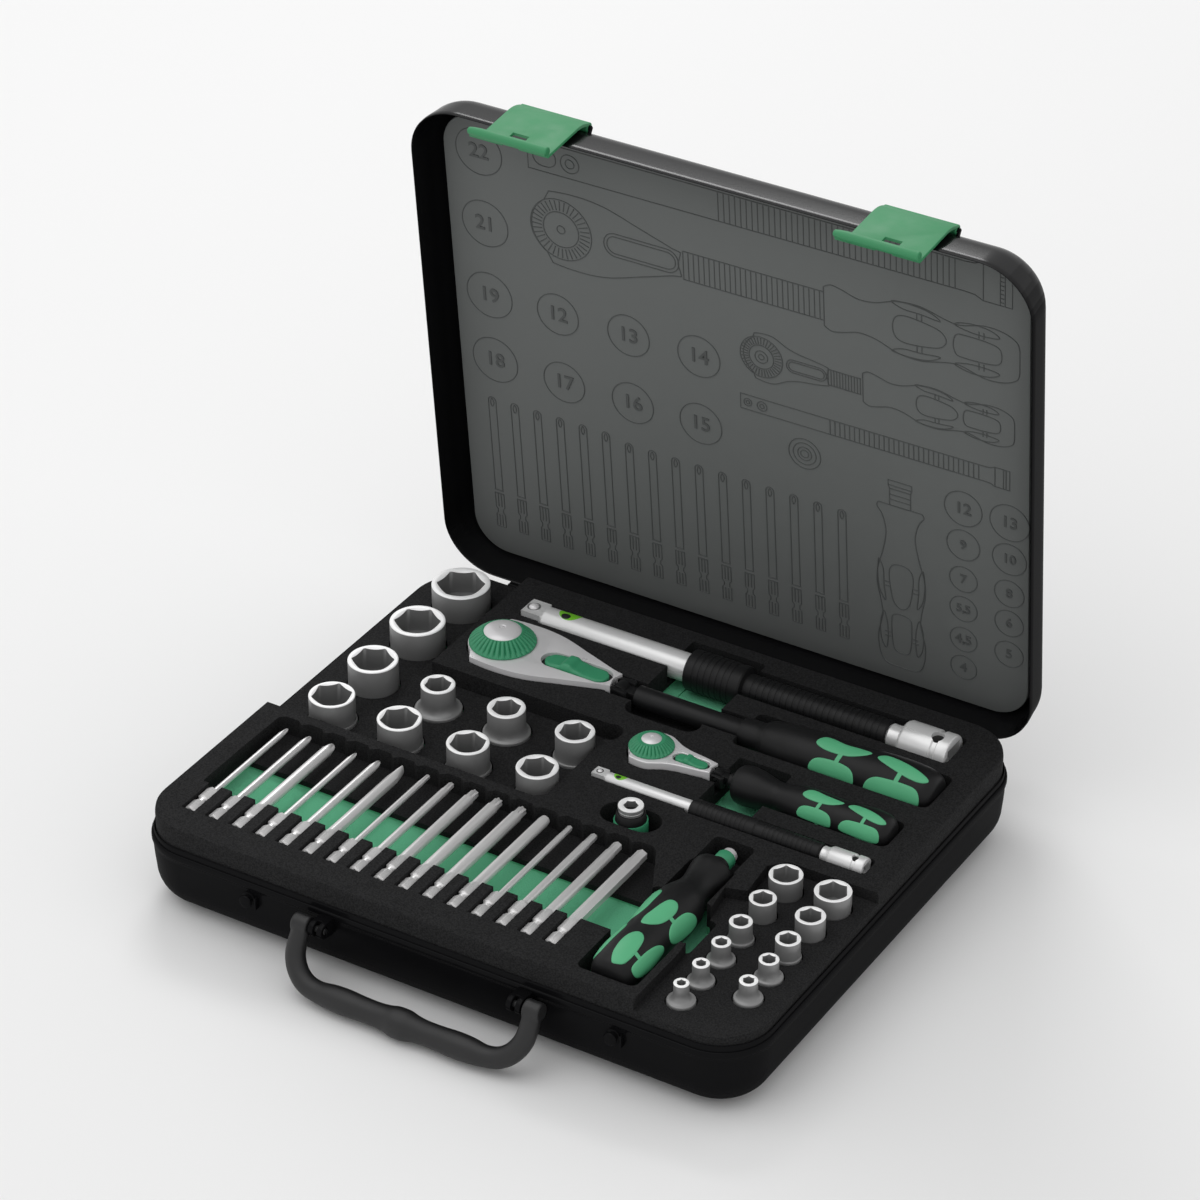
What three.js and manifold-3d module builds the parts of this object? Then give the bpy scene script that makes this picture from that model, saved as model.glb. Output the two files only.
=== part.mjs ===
// Socket wrench set in a steel case, standing open on a bench.
// Millimetres. X runs along the hinge, Y from the carry handle to the hinge, Z up.
// The origin is the centre of the base's underside.
import * as THREE from 'three';
import { mergeVertices } from 'three/addons/utils/BufferGeometryUtils.js';
import Module from 'manifold-3d';

const wasm = await Module();
wasm.setup();

// ---- driving dimensions -------------------------------------------------------------------
const GAP = 0.3;                      // clearance between touching pieces
const TAU = 2 * Math.PI;

const CASE = { width: 341, depth: 282.2, cornerR: 28.5, baseH: 37, closedH: 65 };
const HALF_W = CASE.width / 2;
const HALF_D = CASE.depth / 2;
const BASE_ROUND = 18.5;              // radius between the base's floor and its walls
const LID_ROUND = 17;                 // radius between the lid's top and its walls
const BASE_DRAFT = 1.7;               // wall inset where the base's rounding starts
const LID_DRAFT = 1;
const LIP = { inset: 1.2, top: 40 };  // upstand inside the base's rim that the lid drops over

const HINGE = { y: 143.6, z: 37.1, pinR: 0.9, knuckleR: 2.2, halfLength: 132, count: 9 };
const LID_OPEN = THREE.MathUtils.degToRad(84.34);

const FOAM = { inset: 2.4, floor: 1.5, top: 50.5, socketLevel: 40.5, smallLevel: 44.5 };
const LINER = { face: 61.4, back: 63.6, inset: 8.5, cornerR: 20 };

const LATCH = { width: 39, plate: 1.6, faceY: -143, pivotY: -139, pivotZ: 59.2, pinR: 1.1,
  knuckleR: 2.6, lipZ: 21.5, lipR: 2.4, slotW: 9.2, slotTop: 31.8, flap: 5.5 };
const LATCH_X = [-99, 100.85];
const STUD = { x: [-100.8, 101.5], z: 27, r: 3.9, tipY: -144.4 };

const CARRY = { pivotX: 64, pivotY: -148.5, pivotZ: 32, gripY: -163, gripZ: 8, bend: 20,
  armR: 4.9, pinR: 1.8 };

const BIT = { count: 16, firstX: -148.2, pitch: 13.56, shankY: -119.8, hexR: 3.6, z: 47 };
const BIT_SHAFTS = [1.5, 2, 2.8, 1.5, 2.1, 2.9, 1.5, 2, 2.8, 1.6, 2.1, 2.9, 1.5, 2.1, 2.7, 3.3];
const BIT_TIPS = [-37, -37, -37, -37, -37, -37, -34.8, -34.8, -34.8, -34.8, -34.8,
  -35.5, -35.5, -35.5, -36, -36];

// a socket widens to its base between the two heights of its flare
const LARGE_SOCKET = { length: 37, top: 55.5, flare: [41.5, 45.5], drive: 12.9, bore: 16,
  driveDepth: 16 };
const SMALL_SOCKET = { length: 23, top: 55, flare: [45, 49], drive: 6.5, bore: 10, driveDepth: 9 };
// size across flats, x, y, diameter at the top, diameter at the base
const LARGE_SOCKETS = [
  [22, -139.5, 108.5, 30.5, 30], [21, -139.5, 67.5, 28.6, 28.2], [19, -139.5, 26.5, 25.7, 26],
  [18, -139.5, -10.5, 23.4, 24.8], [12, -99.4, 24.5, 17.5, 24.3], [17, -99.4, -10.5, 22.4, 23.6],
  [13, -59.3, 24.7, 19.3, 24.3], [16, -59.3, -10.7, 21.4, 23], [14, -19.5, 24.6, 19.9, 22.2],
  [15, -19.4, -10.7, 21.1, 22],
];
const SMALL_SOCKETS = [
  [12, 126.3, -24.3, 16.4, 16], [13, 151.5, -24.3, 18, 17.4], [9, 126.1, -46, 13.1, 13.4],
  [10, 151.7, -46.5, 14.5, 14.4], [7, 126.3, -67, 11.1, 13], [8, 151.4, -67.2, 12, 13],
  [5.5, 126.3, -85.2, 9.2, 14.8], [6, 151.5, -85.3, 9.6, 14.8], [4.5, 126.4, -103.9, 8.2, 14.2],
  [5, 151.3, -103.8, 8.8, 15], [4, 126.1, -121.2, 7.4, 15],
];

const ADAPTOR = { x: 37.5, y: -17.4, bottom: 27, top: 58 };
const DRIVER = { x: 91, z: 47, butt: -131.5, shoulder: -30, tip: -14 };

// ---- colours ------------------------------------------------------------------------------
const FINISH = {
  caseBlack: { color: 0x0b0b0c, roughness: 0.35, metalness: 0.2 },
  foamBlack: { color: 0x111212, roughness: 0.95, metalness: 0 },
  linerGrey: { color: 0x4b4d4e, roughness: 0.8, metalness: 0 },
  green: { color: 0x2f9b63, roughness: 0.5, metalness: 0 },
  gripBlack: { color: 0x141414, roughness: 0.45, metalness: 0 },
  satinSteel: { color: 0xb9babb, roughness: 0.35, metalness: 0.9 },
  polished: { color: 0xd2d3d4, roughness: 0.2, metalness: 1 },
};

// ---- solids -------------------------------------------------------------------------------
function toSolid(geometry) {
  const bare = geometry.clone();
  bare.deleteAttribute('normal');
  bare.deleteAttribute('uv');
  const merged = mergeVertices(bare, 1e-4);
  const corners = merged.index.array;
  const kept = [];
  for (let i = 0; i < corners.length; i += 3) {
    const [a, b, c] = [corners[i], corners[i + 1], corners[i + 2]];
    if (a !== b && b !== c && c !== a) kept.push(a, b, c);
  }
  return new wasm.Manifold(new wasm.Mesh({
    numProp: 3,
    vertProperties: Float32Array.from(merged.attributes.position.array),
    triVerts: Uint32Array.from(kept),
  }));
}

function toGeometry(solid) {
  const mesh = solid.getMesh();
  const geometry = new THREE.BufferGeometry();
  geometry.setAttribute('position', new THREE.BufferAttribute(mesh.vertProperties, 3));
  geometry.setIndex(new THREE.BufferAttribute(mesh.triVerts, 1));
  return geometry;
}

function join(first, ...others) {
  return others.reduce((whole, other) => whole.add(other), first);
}

function cut(body, ...tools) {
  return tools.reduce((left, tool) => left.subtract(tool), body);
}

function block(x0, y0, z0, x1, y1, z1) {
  const box = new THREE.BoxGeometry(x1 - x0, y1 - y0, z1 - z0);
  return toSolid(box.translate((x0 + x1) / 2, (y0 + y1) / 2, (z0 + z1) / 2));
}

function prism(shape, z0, z1, curveSegments = 6) {
  const options = { depth: z1 - z0, bevelEnabled: false, curveSegments };
  return toSolid(new THREE.ExtrudeGeometry(shape, options).translate(0, 0, z0));
}

// Turned solid about the vertical; the profile is [radius, height] pairs from bottom to top.
function lathe(profile, sides) {
  const points = profile.map(([r, h]) => new THREE.Vector2(r, h));
  points.unshift(new THREE.Vector2(0, profile[0][1]));
  points.push(new THREE.Vector2(0, profile.at(-1)[1]));
  return new THREE.LatheGeometry(points, sides).rotateX(Math.PI / 2);
}

const turnedZ = (profile, sides, x, y) => toSolid(lathe(profile, sides).translate(x, y, 0));
const turnedX = (profile, sides, y, z) =>
  toSolid(lathe(profile, sides).rotateY(Math.PI / 2).translate(0, y, z));
const turnedY = (profile, sides, x, z) =>
  toSolid(lathe(profile, sides).rotateX(-Math.PI / 2).translate(x, 0, z));

function rodX(x0, x1, r, y, z, sides = 12) {
  return turnedX([[r, x0], [r, x1]], sides, y, z);
}

function squareX(x0, x1, across, y, z) {
  return block(x0, y - across / 2, z - across / 2, x1, y + across / 2, z + across / 2);
}

// Closed body through rings that all have the same number of points.
function loft(rings) {
  const count = rings[0].length;
  const vertices = rings.flat().flatMap((p) => [p.x, p.y, p.z]);
  const faces = [];
  for (let level = 0; level + 1 < rings.length; level += 1) {
    for (let i = 0; i < count; i += 1) {
      const a = level * count + i;
      const b = level * count + ((i + 1) % count);
      faces.push(a, b, a + count, b, b + count, a + count);
    }
  }
  const last = (rings.length - 1) * count;
  for (let i = 1; i + 1 < count; i += 1) {
    faces.push(0, i + 1, i, last, last + i, last + i + 1);
  }
  const geometry = new THREE.BufferGeometry();
  geometry.setAttribute('position', new THREE.Float32BufferAttribute(vertices, 3));
  geometry.setIndex(faces);
  return toSolid(geometry);
}

// ---- outlines -----------------------------------------------------------------------------
const CORNER_STEPS = 5;

// The case's plan outline, inset from its widest edge, at one height.
function caseRing(inset, z) {
  const radius = Math.max(CASE.cornerR - inset, 3);
  const points = [];
  [[1, 1], [-1, 1], [-1, -1], [1, -1]].forEach(([sx, sy], quadrant) => {
    const cx = sx * (HALF_W - inset - radius);
    const cy = sy * (HALF_D - inset - radius);
    for (let step = 0; step <= CORNER_STEPS; step += 1) {
      const angle = (quadrant + step / CORNER_STEPS) * TAU / 4;
      const x = cx + radius * Math.cos(angle);
      const y = cy + radius * Math.sin(angle);
      points.push(new THREE.Vector3(x, y, z));
    }
  });
  return points;
}

const caseLoft = (profile) => loft(profile.map(([inset, z]) => caseRing(inset, z)));

// Quarter round from a flat floor up into a wall, as [inset, z] pairs.
function rounding(wallInset, radius, floorZ, direction, steps = 4) {
  return Array.from({ length: steps + 1 }, (_, step) => {
    const angle = step / steps * TAU / 4;
    const inset = wallInset + radius * (1 - Math.sin(angle));
    return [inset, floorZ + direction * radius * (1 - Math.cos(angle))];
  });
}

function outline(points) {
  return new THREE.Shape(points.map(([x, y]) => new THREE.Vector2(x, y)));
}

function roundedBox(x0, y0, x1, y1, r) {
  const shape = new THREE.Shape();
  shape.absarc(x1 - r, y0 + r, r, -TAU / 4, 0);
  shape.absarc(x1 - r, y1 - r, r, 0, TAU / 4);
  shape.absarc(x0 + r, y1 - r, r, TAU / 4, TAU / 2);
  shape.absarc(x0 + r, y0 + r, r, TAU / 2, 3 * TAU / 4);
  return shape;
}

function disc(x, y, r) {
  return new THREE.Shape().absarc(x, y, r, 0, TAU);
}

// ---- case ---------------------------------------------------------------------------------
function knuckles(onLid) {
  const pitch = 2 * HINGE.halfLength / HINGE.count;
  const parts = [];
  for (let i = onLid ? 1 : 0; i < HINGE.count; i += 2) {
    const x0 = -HINGE.halfLength + i * pitch + GAP / 2;
    const x1 = x0 + pitch - GAP;
    const tabZ = onLid ? HINGE.z + GAP : CASE.baseH - 4;
    const tabTop = onLid ? HINGE.z + 3.5 : HINGE.z - GAP;
    const wallY = HALF_D - (onLid ? 0.6 : 0.9);
    const tab = block(x0, wallY, tabZ, x1, HINGE.y, tabTop);
    parts.push(join(rodX(x0, x1, HINGE.knuckleR, HINGE.y, HINGE.z, 10), tab));
  }
  const bore = rodX(-HINGE.halfLength - 2, HINGE.halfLength + 2, HINGE.pinR + GAP, HINGE.y, HINGE.z, 8);
  return cut(join(...parts), bore);
}

function baseShell() {
  const outer = caseLoft([
    ...rounding(BASE_DRAFT, BASE_ROUND, 0, 1), [0.9, 27], [0.6, 32.6], [0, 33.6], [0, 36.4],
    [0.6, CASE.baseH]]);
  const upstand = caseLoft([[LIP.inset, CASE.baseH - 1], [LIP.inset, LIP.top]]);
  const hollow = caseLoft([
    ...rounding(BASE_DRAFT + 1, BASE_ROUND - 1, 1, 1), [2, 33], [2, LIP.top + 1]]);
  const studs = STUD.x.map((x) => turnedY(
    [[STUD.r, STUD.tipY], [STUD.r, -HALF_D + 1.6]], 12, x, STUD.z));
  const brackets = [-1, 1].map((side) => bracket(side));
  return join(cut(outer.add(upstand), hollow), ...studs, ...brackets, knuckles(false));
}

// Ear on the front wall that takes one inward pin of the carry handle.
function bracket(side) {
  const inner = side * (CARRY.pivotX - 13);
  const outer = side * (CARRY.pivotX - 5.4);
  const [x0, x1] = [Math.min(inner, outer), Math.max(inner, outer)];
  const ear = block(x0, CARRY.pivotY, CARRY.pivotZ - 4, x1, -HALF_D + 1.7, CARRY.pivotZ + 1);
  const eye = rodX(x0, x1, 4, CARRY.pivotY, CARRY.pivotZ, 12);
  const bore = rodX(x0 - 1, x1 + 1, CARRY.pinR + GAP, CARRY.pivotY, CARRY.pivotZ, 10);
  return cut(join(ear, eye), bore);
}

function lidShell() {
  const top = CASE.closedH;
  const side = rounding(LID_DRAFT, LID_ROUND, top, -1).reverse();
  const bottom = CASE.baseH + GAP;
  const outer = caseLoft([[0, bottom], [0, bottom + 3], ...side]);
  const inside = rounding(LID_DRAFT + 1, LID_ROUND - 1, top - 1, -1).reverse();
  const hollow = caseLoft([[0.85, bottom - 1], [0.85, LIP.top + 1], ...inside]);
  const pins = LATCH_X.map((x) => latchPin(x));
  return join(cut(outer, hollow), ...pins, knuckles(true));
}

// Pin that a latch turns on, with a stem down to the lid beyond each end of the latch.
function latchPin(x) {
  const half = LATCH.width / 2 + GAP;
  const reach = half + 2;
  const pin = rodX(x - reach, x + reach, LATCH.pinR, LATCH.pivotY, LATCH.pivotZ, 8);
  const centre = new THREE.Vector2(-HALF_D + LID_DRAFT + LID_ROUND, CASE.closedH - LID_ROUND);
  const tilt = Math.atan2(LATCH.pivotZ - centre.y, LATCH.pivotY - centre.x);
  const stems = [-1, 1].map((side) => {
    const stem = new THREE.BoxGeometry(2, 4.4, 2.2).translate(side * (half + 1), -1.6, 0);
    return toSolid(stem.rotateX(tilt).translate(x, LATCH.pivotY, LATCH.pivotZ));
  });
  return join(pin, ...stems);
}

function latch(x) {
  const half = LATCH.width / 2;
  const centreY = -HALF_D + LID_DRAFT + LID_ROUND;
  const centreZ = CASE.closedH - LID_ROUND;
  const inner = centreY - LATCH.faceY;
  const outer = inner + LATCH.plate;
  const pivotAngle = Math.atan2(LATCH.pivotZ - centreZ, LATCH.pivotY - centreY);
  const shape = new THREE.Shape();
  shape.moveTo(LATCH.faceY, LATCH.lipZ);
  shape.lineTo(LATCH.faceY, centreZ);
  shape.absarc(centreY, centreZ, inner, TAU / 2, pivotAngle, true);
  shape.absarc(centreY, centreZ, outer, pivotAngle, TAU / 2, false);
  shape.lineTo(LATCH.faceY - LATCH.plate, LATCH.lipZ);
  const along = (solidShape, width, x0) => toSolid(
    new THREE.ExtrudeGeometry(solidShape, { depth: width, bevelEnabled: false, curveSegments: 5 })
      .applyMatrix4(new THREE.Matrix4().makeBasis(
        new THREE.Vector3(0, 1, 0), new THREE.Vector3(0, 0, 1), new THREE.Vector3(1, 0, 0)))
      .translate(x0, 0, 0));
  const plate = along(shape, LATCH.width, x - half);
  const knuckle = rodX(x - half, x + half, LATCH.knuckleR, LATCH.pivotY, LATCH.pivotZ, 12);
  const lipY = LATCH.faceY - LATCH.plate - 2;
  const lip = rodX(x - half - LATCH.flap, x + half, LATCH.lipR, lipY, LATCH.lipZ, 10);
  const flap = block(x - half - LATCH.flap, LATCH.faceY - LATCH.plate, LATCH.lipZ,
    x - half + 1, LATCH.faceY, LATCH.lipZ + 12);
  const bore = rodX(x - half - 1, x + half + 1, LATCH.pinR + GAP, LATCH.pivotY, LATCH.pivotZ, 8);
  const stud = x < 0 ? STUD.x[0] : STUD.x[1];
  const slot = block(stud - LATCH.slotW / 2, STUD.tipY - 0.5, LATCH.lipZ - 4,
    stud + LATCH.slotW / 2, LATCH.faceY + 3, LATCH.slotTop);
  return cut(join(plate, knuckle, lip, flap), bore, slot);
}

function carryHandle() {
  const down = new THREE.Vector3(0, CARRY.gripY - CARRY.pivotY, CARRY.gripZ - CARRY.pivotZ);
  const drop = down.length();
  const tilt = Math.atan2(-down.y, -down.z);
  const half = CARRY.pivotX;
  const swells = [[5.2, -half + CARRY.bend], [5.6, -44], [6.6, -34], [6, -22], [6.2, -12], [7.6, 0],
    [6.2, 12], [6, 22], [6.6, 34], [5.6, 44], [5.2, half - CARRY.bend]];
  let whole = turnedX(swells, 12, 0, -drop);
  [-1, 1].forEach((side) => {
    const path = new THREE.CatmullRomCurve3([
      new THREE.Vector3(side * (half - CARRY.bend - 0.5), 0, -drop),
      new THREE.Vector3(side * (half - CARRY.bend * 0.55), 0, -drop + 1.5),
      new THREE.Vector3(side * (half - 4), 0, -drop + CARRY.bend * 0.4),
      new THREE.Vector3(side * half, 0, -drop + CARRY.bend * 0.95),
      new THREE.Vector3(side * half, 0, 1)]);
    const options = { steps: 10, bevelEnabled: false, extrudePath: path, curveSegments: 2 };
    whole = whole.add(toSolid(new THREE.ExtrudeGeometry(disc(0, 0, CARRY.armR), options)));
    const [x0, x1] = side < 0 ? [-half - 4.6, -half + 4.6] : [half - 4.6, half + 4.6];
    whole = whole.add(rodX(x0, x1, 4.6, 0, 0, 12));
    const [p0, p1] = side < 0 ? [-half, -half + 12] : [half - 12, half];
    whole = whole.add(rodX(p0, p1, CARRY.pinR, 0, 0, 8));
  });
  return toGeometry(whole).rotateX(-tilt).translate(0, CARRY.pivotY, CARRY.pivotZ);
}

// ---- sockets, bits, adaptor ---------------------------------------------------------------
function socket([size, x, y, topD, baseD], kind, sides) {
  const bottom = kind.top - kind.length;
  const outer = turnedZ([[baseD / 2, bottom], [baseD / 2, kind.flare[0]],
    [topD / 2, kind.flare[1]], [topD / 2, kind.top]], sides, x, y);
  const hexR = size / Math.sqrt(3);
  const hex = turnedZ([[hexR, kind.top - kind.bore], [hexR, kind.top + 1]], 6, x, y);
  const half = kind.drive / 2;
  const drive = block(x - half, y - half, bottom - 1, x + half, y + half, bottom + kind.driveDepth);
  return cut(outer, hex, drive);
}

function bit(index) {
  const x = BIT.firstX + BIT.pitch * index;
  const shaft = BIT_SHAFTS[index];
  const { shankY, hexR } = BIT;
  const tip = BIT_TIPS[index];
  return turnedY([
    [hexR, shankY], [hexR, shankY + 7.8], [hexR - 0.9, shankY + 8.4],
    [hexR - 0.9, shankY + 10.4], [hexR, shankY + 11.2], [hexR, shankY + 19.4],
    [shaft, shankY + 20.6], [shaft, tip - 5], [shaft * 0.5, tip]], 6, x, BIT.z);
}

function adaptor() {
  const { x, y, bottom, top } = ADAPTOR;
  const body = turnedZ([
    [5, bottom], [5.4, bottom + 0.6], [5.4, 40], [8.2, 41], [8.5, 42], [8.5, 50.5], [7.6, 51.5],
    [6, 52], [6, 54.6], [6.3, 55], [6.3, top - 0.6], [5.7, top]], 16, x, y);
  const hexR = 6.5 / Math.sqrt(3);
  const hex = turnedZ([[hexR, top - 14], [hexR, top + 1]], 6, x, y);
  const half = 3.2;
  return cut(body, hex, block(x - half, y - half, bottom - 1, x + half, y + half, bottom + 8));
}

// ---- ratchets -----------------------------------------------------------------------------
// Everything about one ratchet. Half-widths of the head run from its round end to its neck.
const LARGE_RATCHET = {
  y: 76.5, z: 47.4, headX: -94, headR: 19.6, headTop: 53, headBottom: 41.4,
  sides: [[-80, 18.4], [-66, 16.4], [-52, 12], [-40, 9.8], [-28, 8]], neckEnd: -17,
  pinX: -24, tongue: 3.4, noseR: 4.6, forkX: -30, boreR: 8.2,
  ringR: 18.4, ringTop: 59.6, capR: 10, capTop: 62.2, drive: 12.7, driveEnd: 27,
  slot: [-70.5, -30.5], slotHalf: 6.6, slotDeep: 2.4, leverLength: 35, leverHalf: 5.6, leverTop: 55.6,
  leverY: -2.6,
  handle: [[6, -14], [6, 44], [7.8, 50], [8, 57], [10.5, 62], [12, 72], [13.2, 88], [12, 104],
    [12.8, 115], [13.6, 126], [13.6, 139], [12.6, 147], [11, 152], [8, 154]],
};
const SMALL_RATCHET = {
  y: 34.6, z: 50, headX: 18.2, headR: 12.8, headTop: 53.8, headBottom: 45.6,
  sides: [[27, 11.4], [34, 9.2], [42, 6.8], [50, 5.2]], neckEnd: 60.5,
  pinX: 56, tongue: 2, noseR: 3.4, forkX: 52, boreR: 5,
  ringR: 12.1, ringTop: 58.4, capR: 5.6, capTop: 60, drive: 6.35, driveEnd: 37,
  slot: [31, 52], slotHalf: 3.6, slotDeep: 1.6, leverLength: 17.4, leverHalf: 2.9, leverTop: 55.6,
  leverY: -0.6,
  handle: [[4, 63.2], [4, 66], [8, 68], [9.4, 75], [8, 84], [6.6, 90], [8.8, 100], [9.6, 110],
    [8.8, 122], [9.2, 130], [10, 140], [9.6, 147], [7.6, 151], [5, 152]],
};

function headOutline(r, grow) {
  const points = [];
  const start = Math.acos((r.sides[0][0] - r.headX) / r.headR);
  for (let step = 0; step <= 10; step += 1) {
    const angle = start + step / 10 * (TAU - 2 * start);
    const reach = r.headR + grow;
    points.push([r.headX + reach * Math.cos(angle), r.y + reach * Math.sin(angle)]);
  }
  const sides = [...r.sides, [r.neckEnd + grow, r.sides.at(-1)[1] - 0.6]];
  const lower = sides.map(([x, half]) => [x, r.y - half - grow]);
  const upper = sides.map(([x, half]) => [x, r.y + half + grow]).reverse();
  return outline([...points, ...lower.slice(1), ...upper.slice(0, -1)]);
}

function ratchetHead(r) {
  const body = prism(headOutline(r, 0), r.headBottom, r.headTop);
  const height = r.headTop - r.headBottom + 2;
  const fork = block(r.forkX, r.y - r.tongue - GAP, r.headBottom - 1, r.neckEnd + 1,
    r.y + r.tongue + GAP, r.headBottom + height);
  const eye = turnedY([[r.tongue * 0.6 + GAP, r.y - 20], [r.tongue * 0.6 + GAP, r.y + 20]], 8,
    r.pinX, r.z);
  const bore = turnedZ([[r.boreR + GAP, r.headBottom - 1], [r.boreR + GAP, r.headTop + 1]], 16,
    r.headX, r.y);
  const y = r.y + r.leverY;
  const slot = prism(roundedBox(r.slot[0], y - r.slotHalf, r.slot[1], y + r.slotHalf,
    r.slotHalf - 0.01), r.headTop - r.slotDeep, r.headTop + 1, 3);
  return cut(body, fork, eye, bore, slot);
}

function thumbRing(r) {
  const base = r.headTop + GAP;
  const ring = turnedZ([[r.ringR, base], [r.ringR, base + 1.2], [r.capR + 0.6, r.ringTop],
    [r.capR, r.ringTop], [r.capR, r.capTop - 0.6], [r.capR - 1.4, r.capTop]], 24, r.headX, r.y);
  const spindle = turnedZ([[r.boreR, r.headBottom - 1.2], [r.boreR, base + 0.5]], 16, r.headX, r.y);
  const half = r.drive / 2;
  const drive = block(r.headX - half, r.y - half, r.driveEnd, r.headX + half, r.y + half,
    r.headBottom - 1);
  return join(ring, spindle, drive);
}

function slideSwitch(r) {
  const middle = (r.slot[0] + r.slot[1]) / 2;
  const y = r.y + r.leverY;
  const floor = r.headTop - r.slotDeep + GAP;
  const x0 = middle - r.leverLength / 2;
  const x1 = middle + r.leverLength / 2;
  const pad = prism(roundedBox(x0, y - r.leverHalf, x1, y + r.leverHalf, r.leverHalf - 0.01),
    floor, r.headTop + 0.6, 3);
  const ridge = prism(roundedBox(middle - 2, y - r.leverHalf, x1 - 2, y + r.leverHalf,
    r.leverHalf / 2), floor + 0.5, r.leverTop, 3);
  return join(pad, ridge);
}

function ratchetHandle(r) {
  const grip = turnedX(r.handle, 14, r.y, r.z);
  const tongueEnd = r.handle[0][1] + 1;
  const half = r.noseR * 0.6;
  const tongue = block(r.pinX, r.y - r.tongue, r.z - half, tongueEnd, r.y + r.tongue, r.z + half);
  const nose = turnedY([[r.noseR, r.y - r.tongue], [r.noseR, r.y + r.tongue]], 12, r.pinX, r.z);
  const pinHalf = r.sides.at(-1)[1] - 1;
  const pin = turnedY([[r.tongue * 0.6, r.y - pinHalf], [r.tongue * 0.6, r.y + pinHalf]], 8,
    r.pinX, r.z);
  return join(grip, tongue, nose, pin);
}

// ---- extension bars -----------------------------------------------------------------------
const LARGE_EXTENSION = {
  y: 112, z: 47.1, square: 12.7, tipX: -104.5, barX: -90, barR: 8, sleeveX: -4, sleeveR: 11.8,
  stepX: 28, thinR: 9.2, coreR: 5.6, endX: 106, neckR: 9, bodyX: 116, bodyR: 12, farX: 144,
};
const SMALL_EXTENSION = {
  y: 6, z: 49, square: 6.35, tipX: 2.3, barX: 10.5, barR: 3.6, sleeveX: 58, sleeveR: 5.4,
  stepX: 94, thinR: 5, coreR: 2.4, endX: 129, neckR: 4.8, bodyX: 136, bodyR: 6.2, farX: 158.3,
};

function extensionShaft(e) {
  const body = turnedX([[e.barR - 0.6, e.barX], [e.barR, e.barX + 0.8], [e.barR, e.sleeveX - GAP],
    [e.coreR, e.sleeveX - GAP], [e.coreR, e.endX + GAP], [e.neckR, e.endX + GAP],
    [e.neckR, e.bodyX - 2], [e.bodyR, e.bodyX], [e.bodyR, e.farX - 0.8],
    [e.bodyR - 0.8, e.farX]], 14, e.y, e.z);
  const tip = squareX(e.tipX, e.barX + 1, e.square, e.y, e.z);
  const depth = e.square * 1.2;
  return cut(join(body, tip), squareX(e.farX - depth, e.farX + 1, e.square + 0.3, e.y, e.z));
}

function extensionSleeve(e) {
  const tube = turnedX([[e.sleeveR - 0.8, e.sleeveX], [e.sleeveR, e.sleeveX + 1],
    [e.sleeveR, e.stepX], [e.thinR, e.stepX + 1], [e.thinR, e.endX]], 14, e.y, e.z);
  return cut(tube, rodX(e.sleeveX - 1, e.endX + 1, e.coreR + GAP, e.y, e.z, 12));
}

// ---- bit driver ---------------------------------------------------------------------------
const DRIVER_PROFILE = [[7, DRIVER.butt], [10.2, DRIVER.butt + 1.5], [11.9, DRIVER.butt + 7],
  [12.6, -112], [11.8, -93], [12.8, -76], [12, -62], [8.8, -50], [10.3, -39], [10.5, -33],
  [9.6, DRIVER.shoulder]];

function driverHandle() {
  const grip = turnedY(DRIVER_PROFILE, 16, DRIVER.x, DRIVER.z);
  const nose = turnedY([[4.2, DRIVER.shoulder - 1], [4.2, DRIVER.tip]], 12, DRIVER.x, DRIVER.z);
  const hexR = 6.5 / Math.sqrt(3);
  const hex = turnedY([[hexR, DRIVER.tip - 14], [hexR, DRIVER.tip + 1]], 6, DRIVER.x, DRIVER.z);
  return cut(join(grip, nose), hex);
}

function driverCollar() {
  const y0 = DRIVER.shoulder + GAP;
  const y1 = DRIVER.tip - 3.2;
  const tube = turnedY([[6, y0], [6.6, y0 + 1], [6.6, y1 - 1], [6, y1]], 14, DRIVER.x, DRIVER.z);
  return cut(tube, turnedY([[4.2 + GAP, y0 - 1], [4.2 + GAP, y1 + 1]], 12, DRIVER.x, DRIVER.z));
}

// ---- foam tray ----------------------------------------------------------------------------
const ABOVE = FOAM.top + 5;
const PLAY = 1;                       // room between a tool and its pocket's wall

const pocket = (shape, floor, segments = 3) => prism(shape, floor, ABOVE, segments);

function ratchetPocket(r) {
  const y = r.y;
  const grip = Math.max(...r.handle.map(([radius]) => radius)) + 1.4;
  const shaft = r.handle[0][0] + 2.4;
  const gripX = r.handle.find(([radius]) => radius > r.handle[0][0] + 1)[1] - 3;
  const butt = r.handle.at(-1)[1] + 1.5;
  return [
    pocket(headOutline(r, 2), r.driveEnd - 1),
    pocket(roundedBox(r.neckEnd - 8, y - shaft, gripX + 4, y + shaft, 1), r.z - shaft - 1),
    pocket(roundedBox(gripX, y - grip, butt, y + grip, 4), r.z - grip),
  ];
}

function extensionPocket(e) {
  const bar = Math.max(e.barR, e.square / 2) + 1.2;
  const sleeve = e.sleeveR + 1;
  const end = e.bodyR + 1;
  return [
    pocket(roundedBox(e.tipX - 2, e.y - bar, e.sleeveX + 2, e.y + bar, 2), e.z - bar),
    pocket(roundedBox(e.sleeveX - 2, e.y - sleeve, e.endX + 2, e.y + sleeve, 2), e.z - sleeve),
    pocket(roundedBox(e.endX, e.y - end, e.farX + 2, e.y + end, 2), e.z - end),
  ];
}

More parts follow.
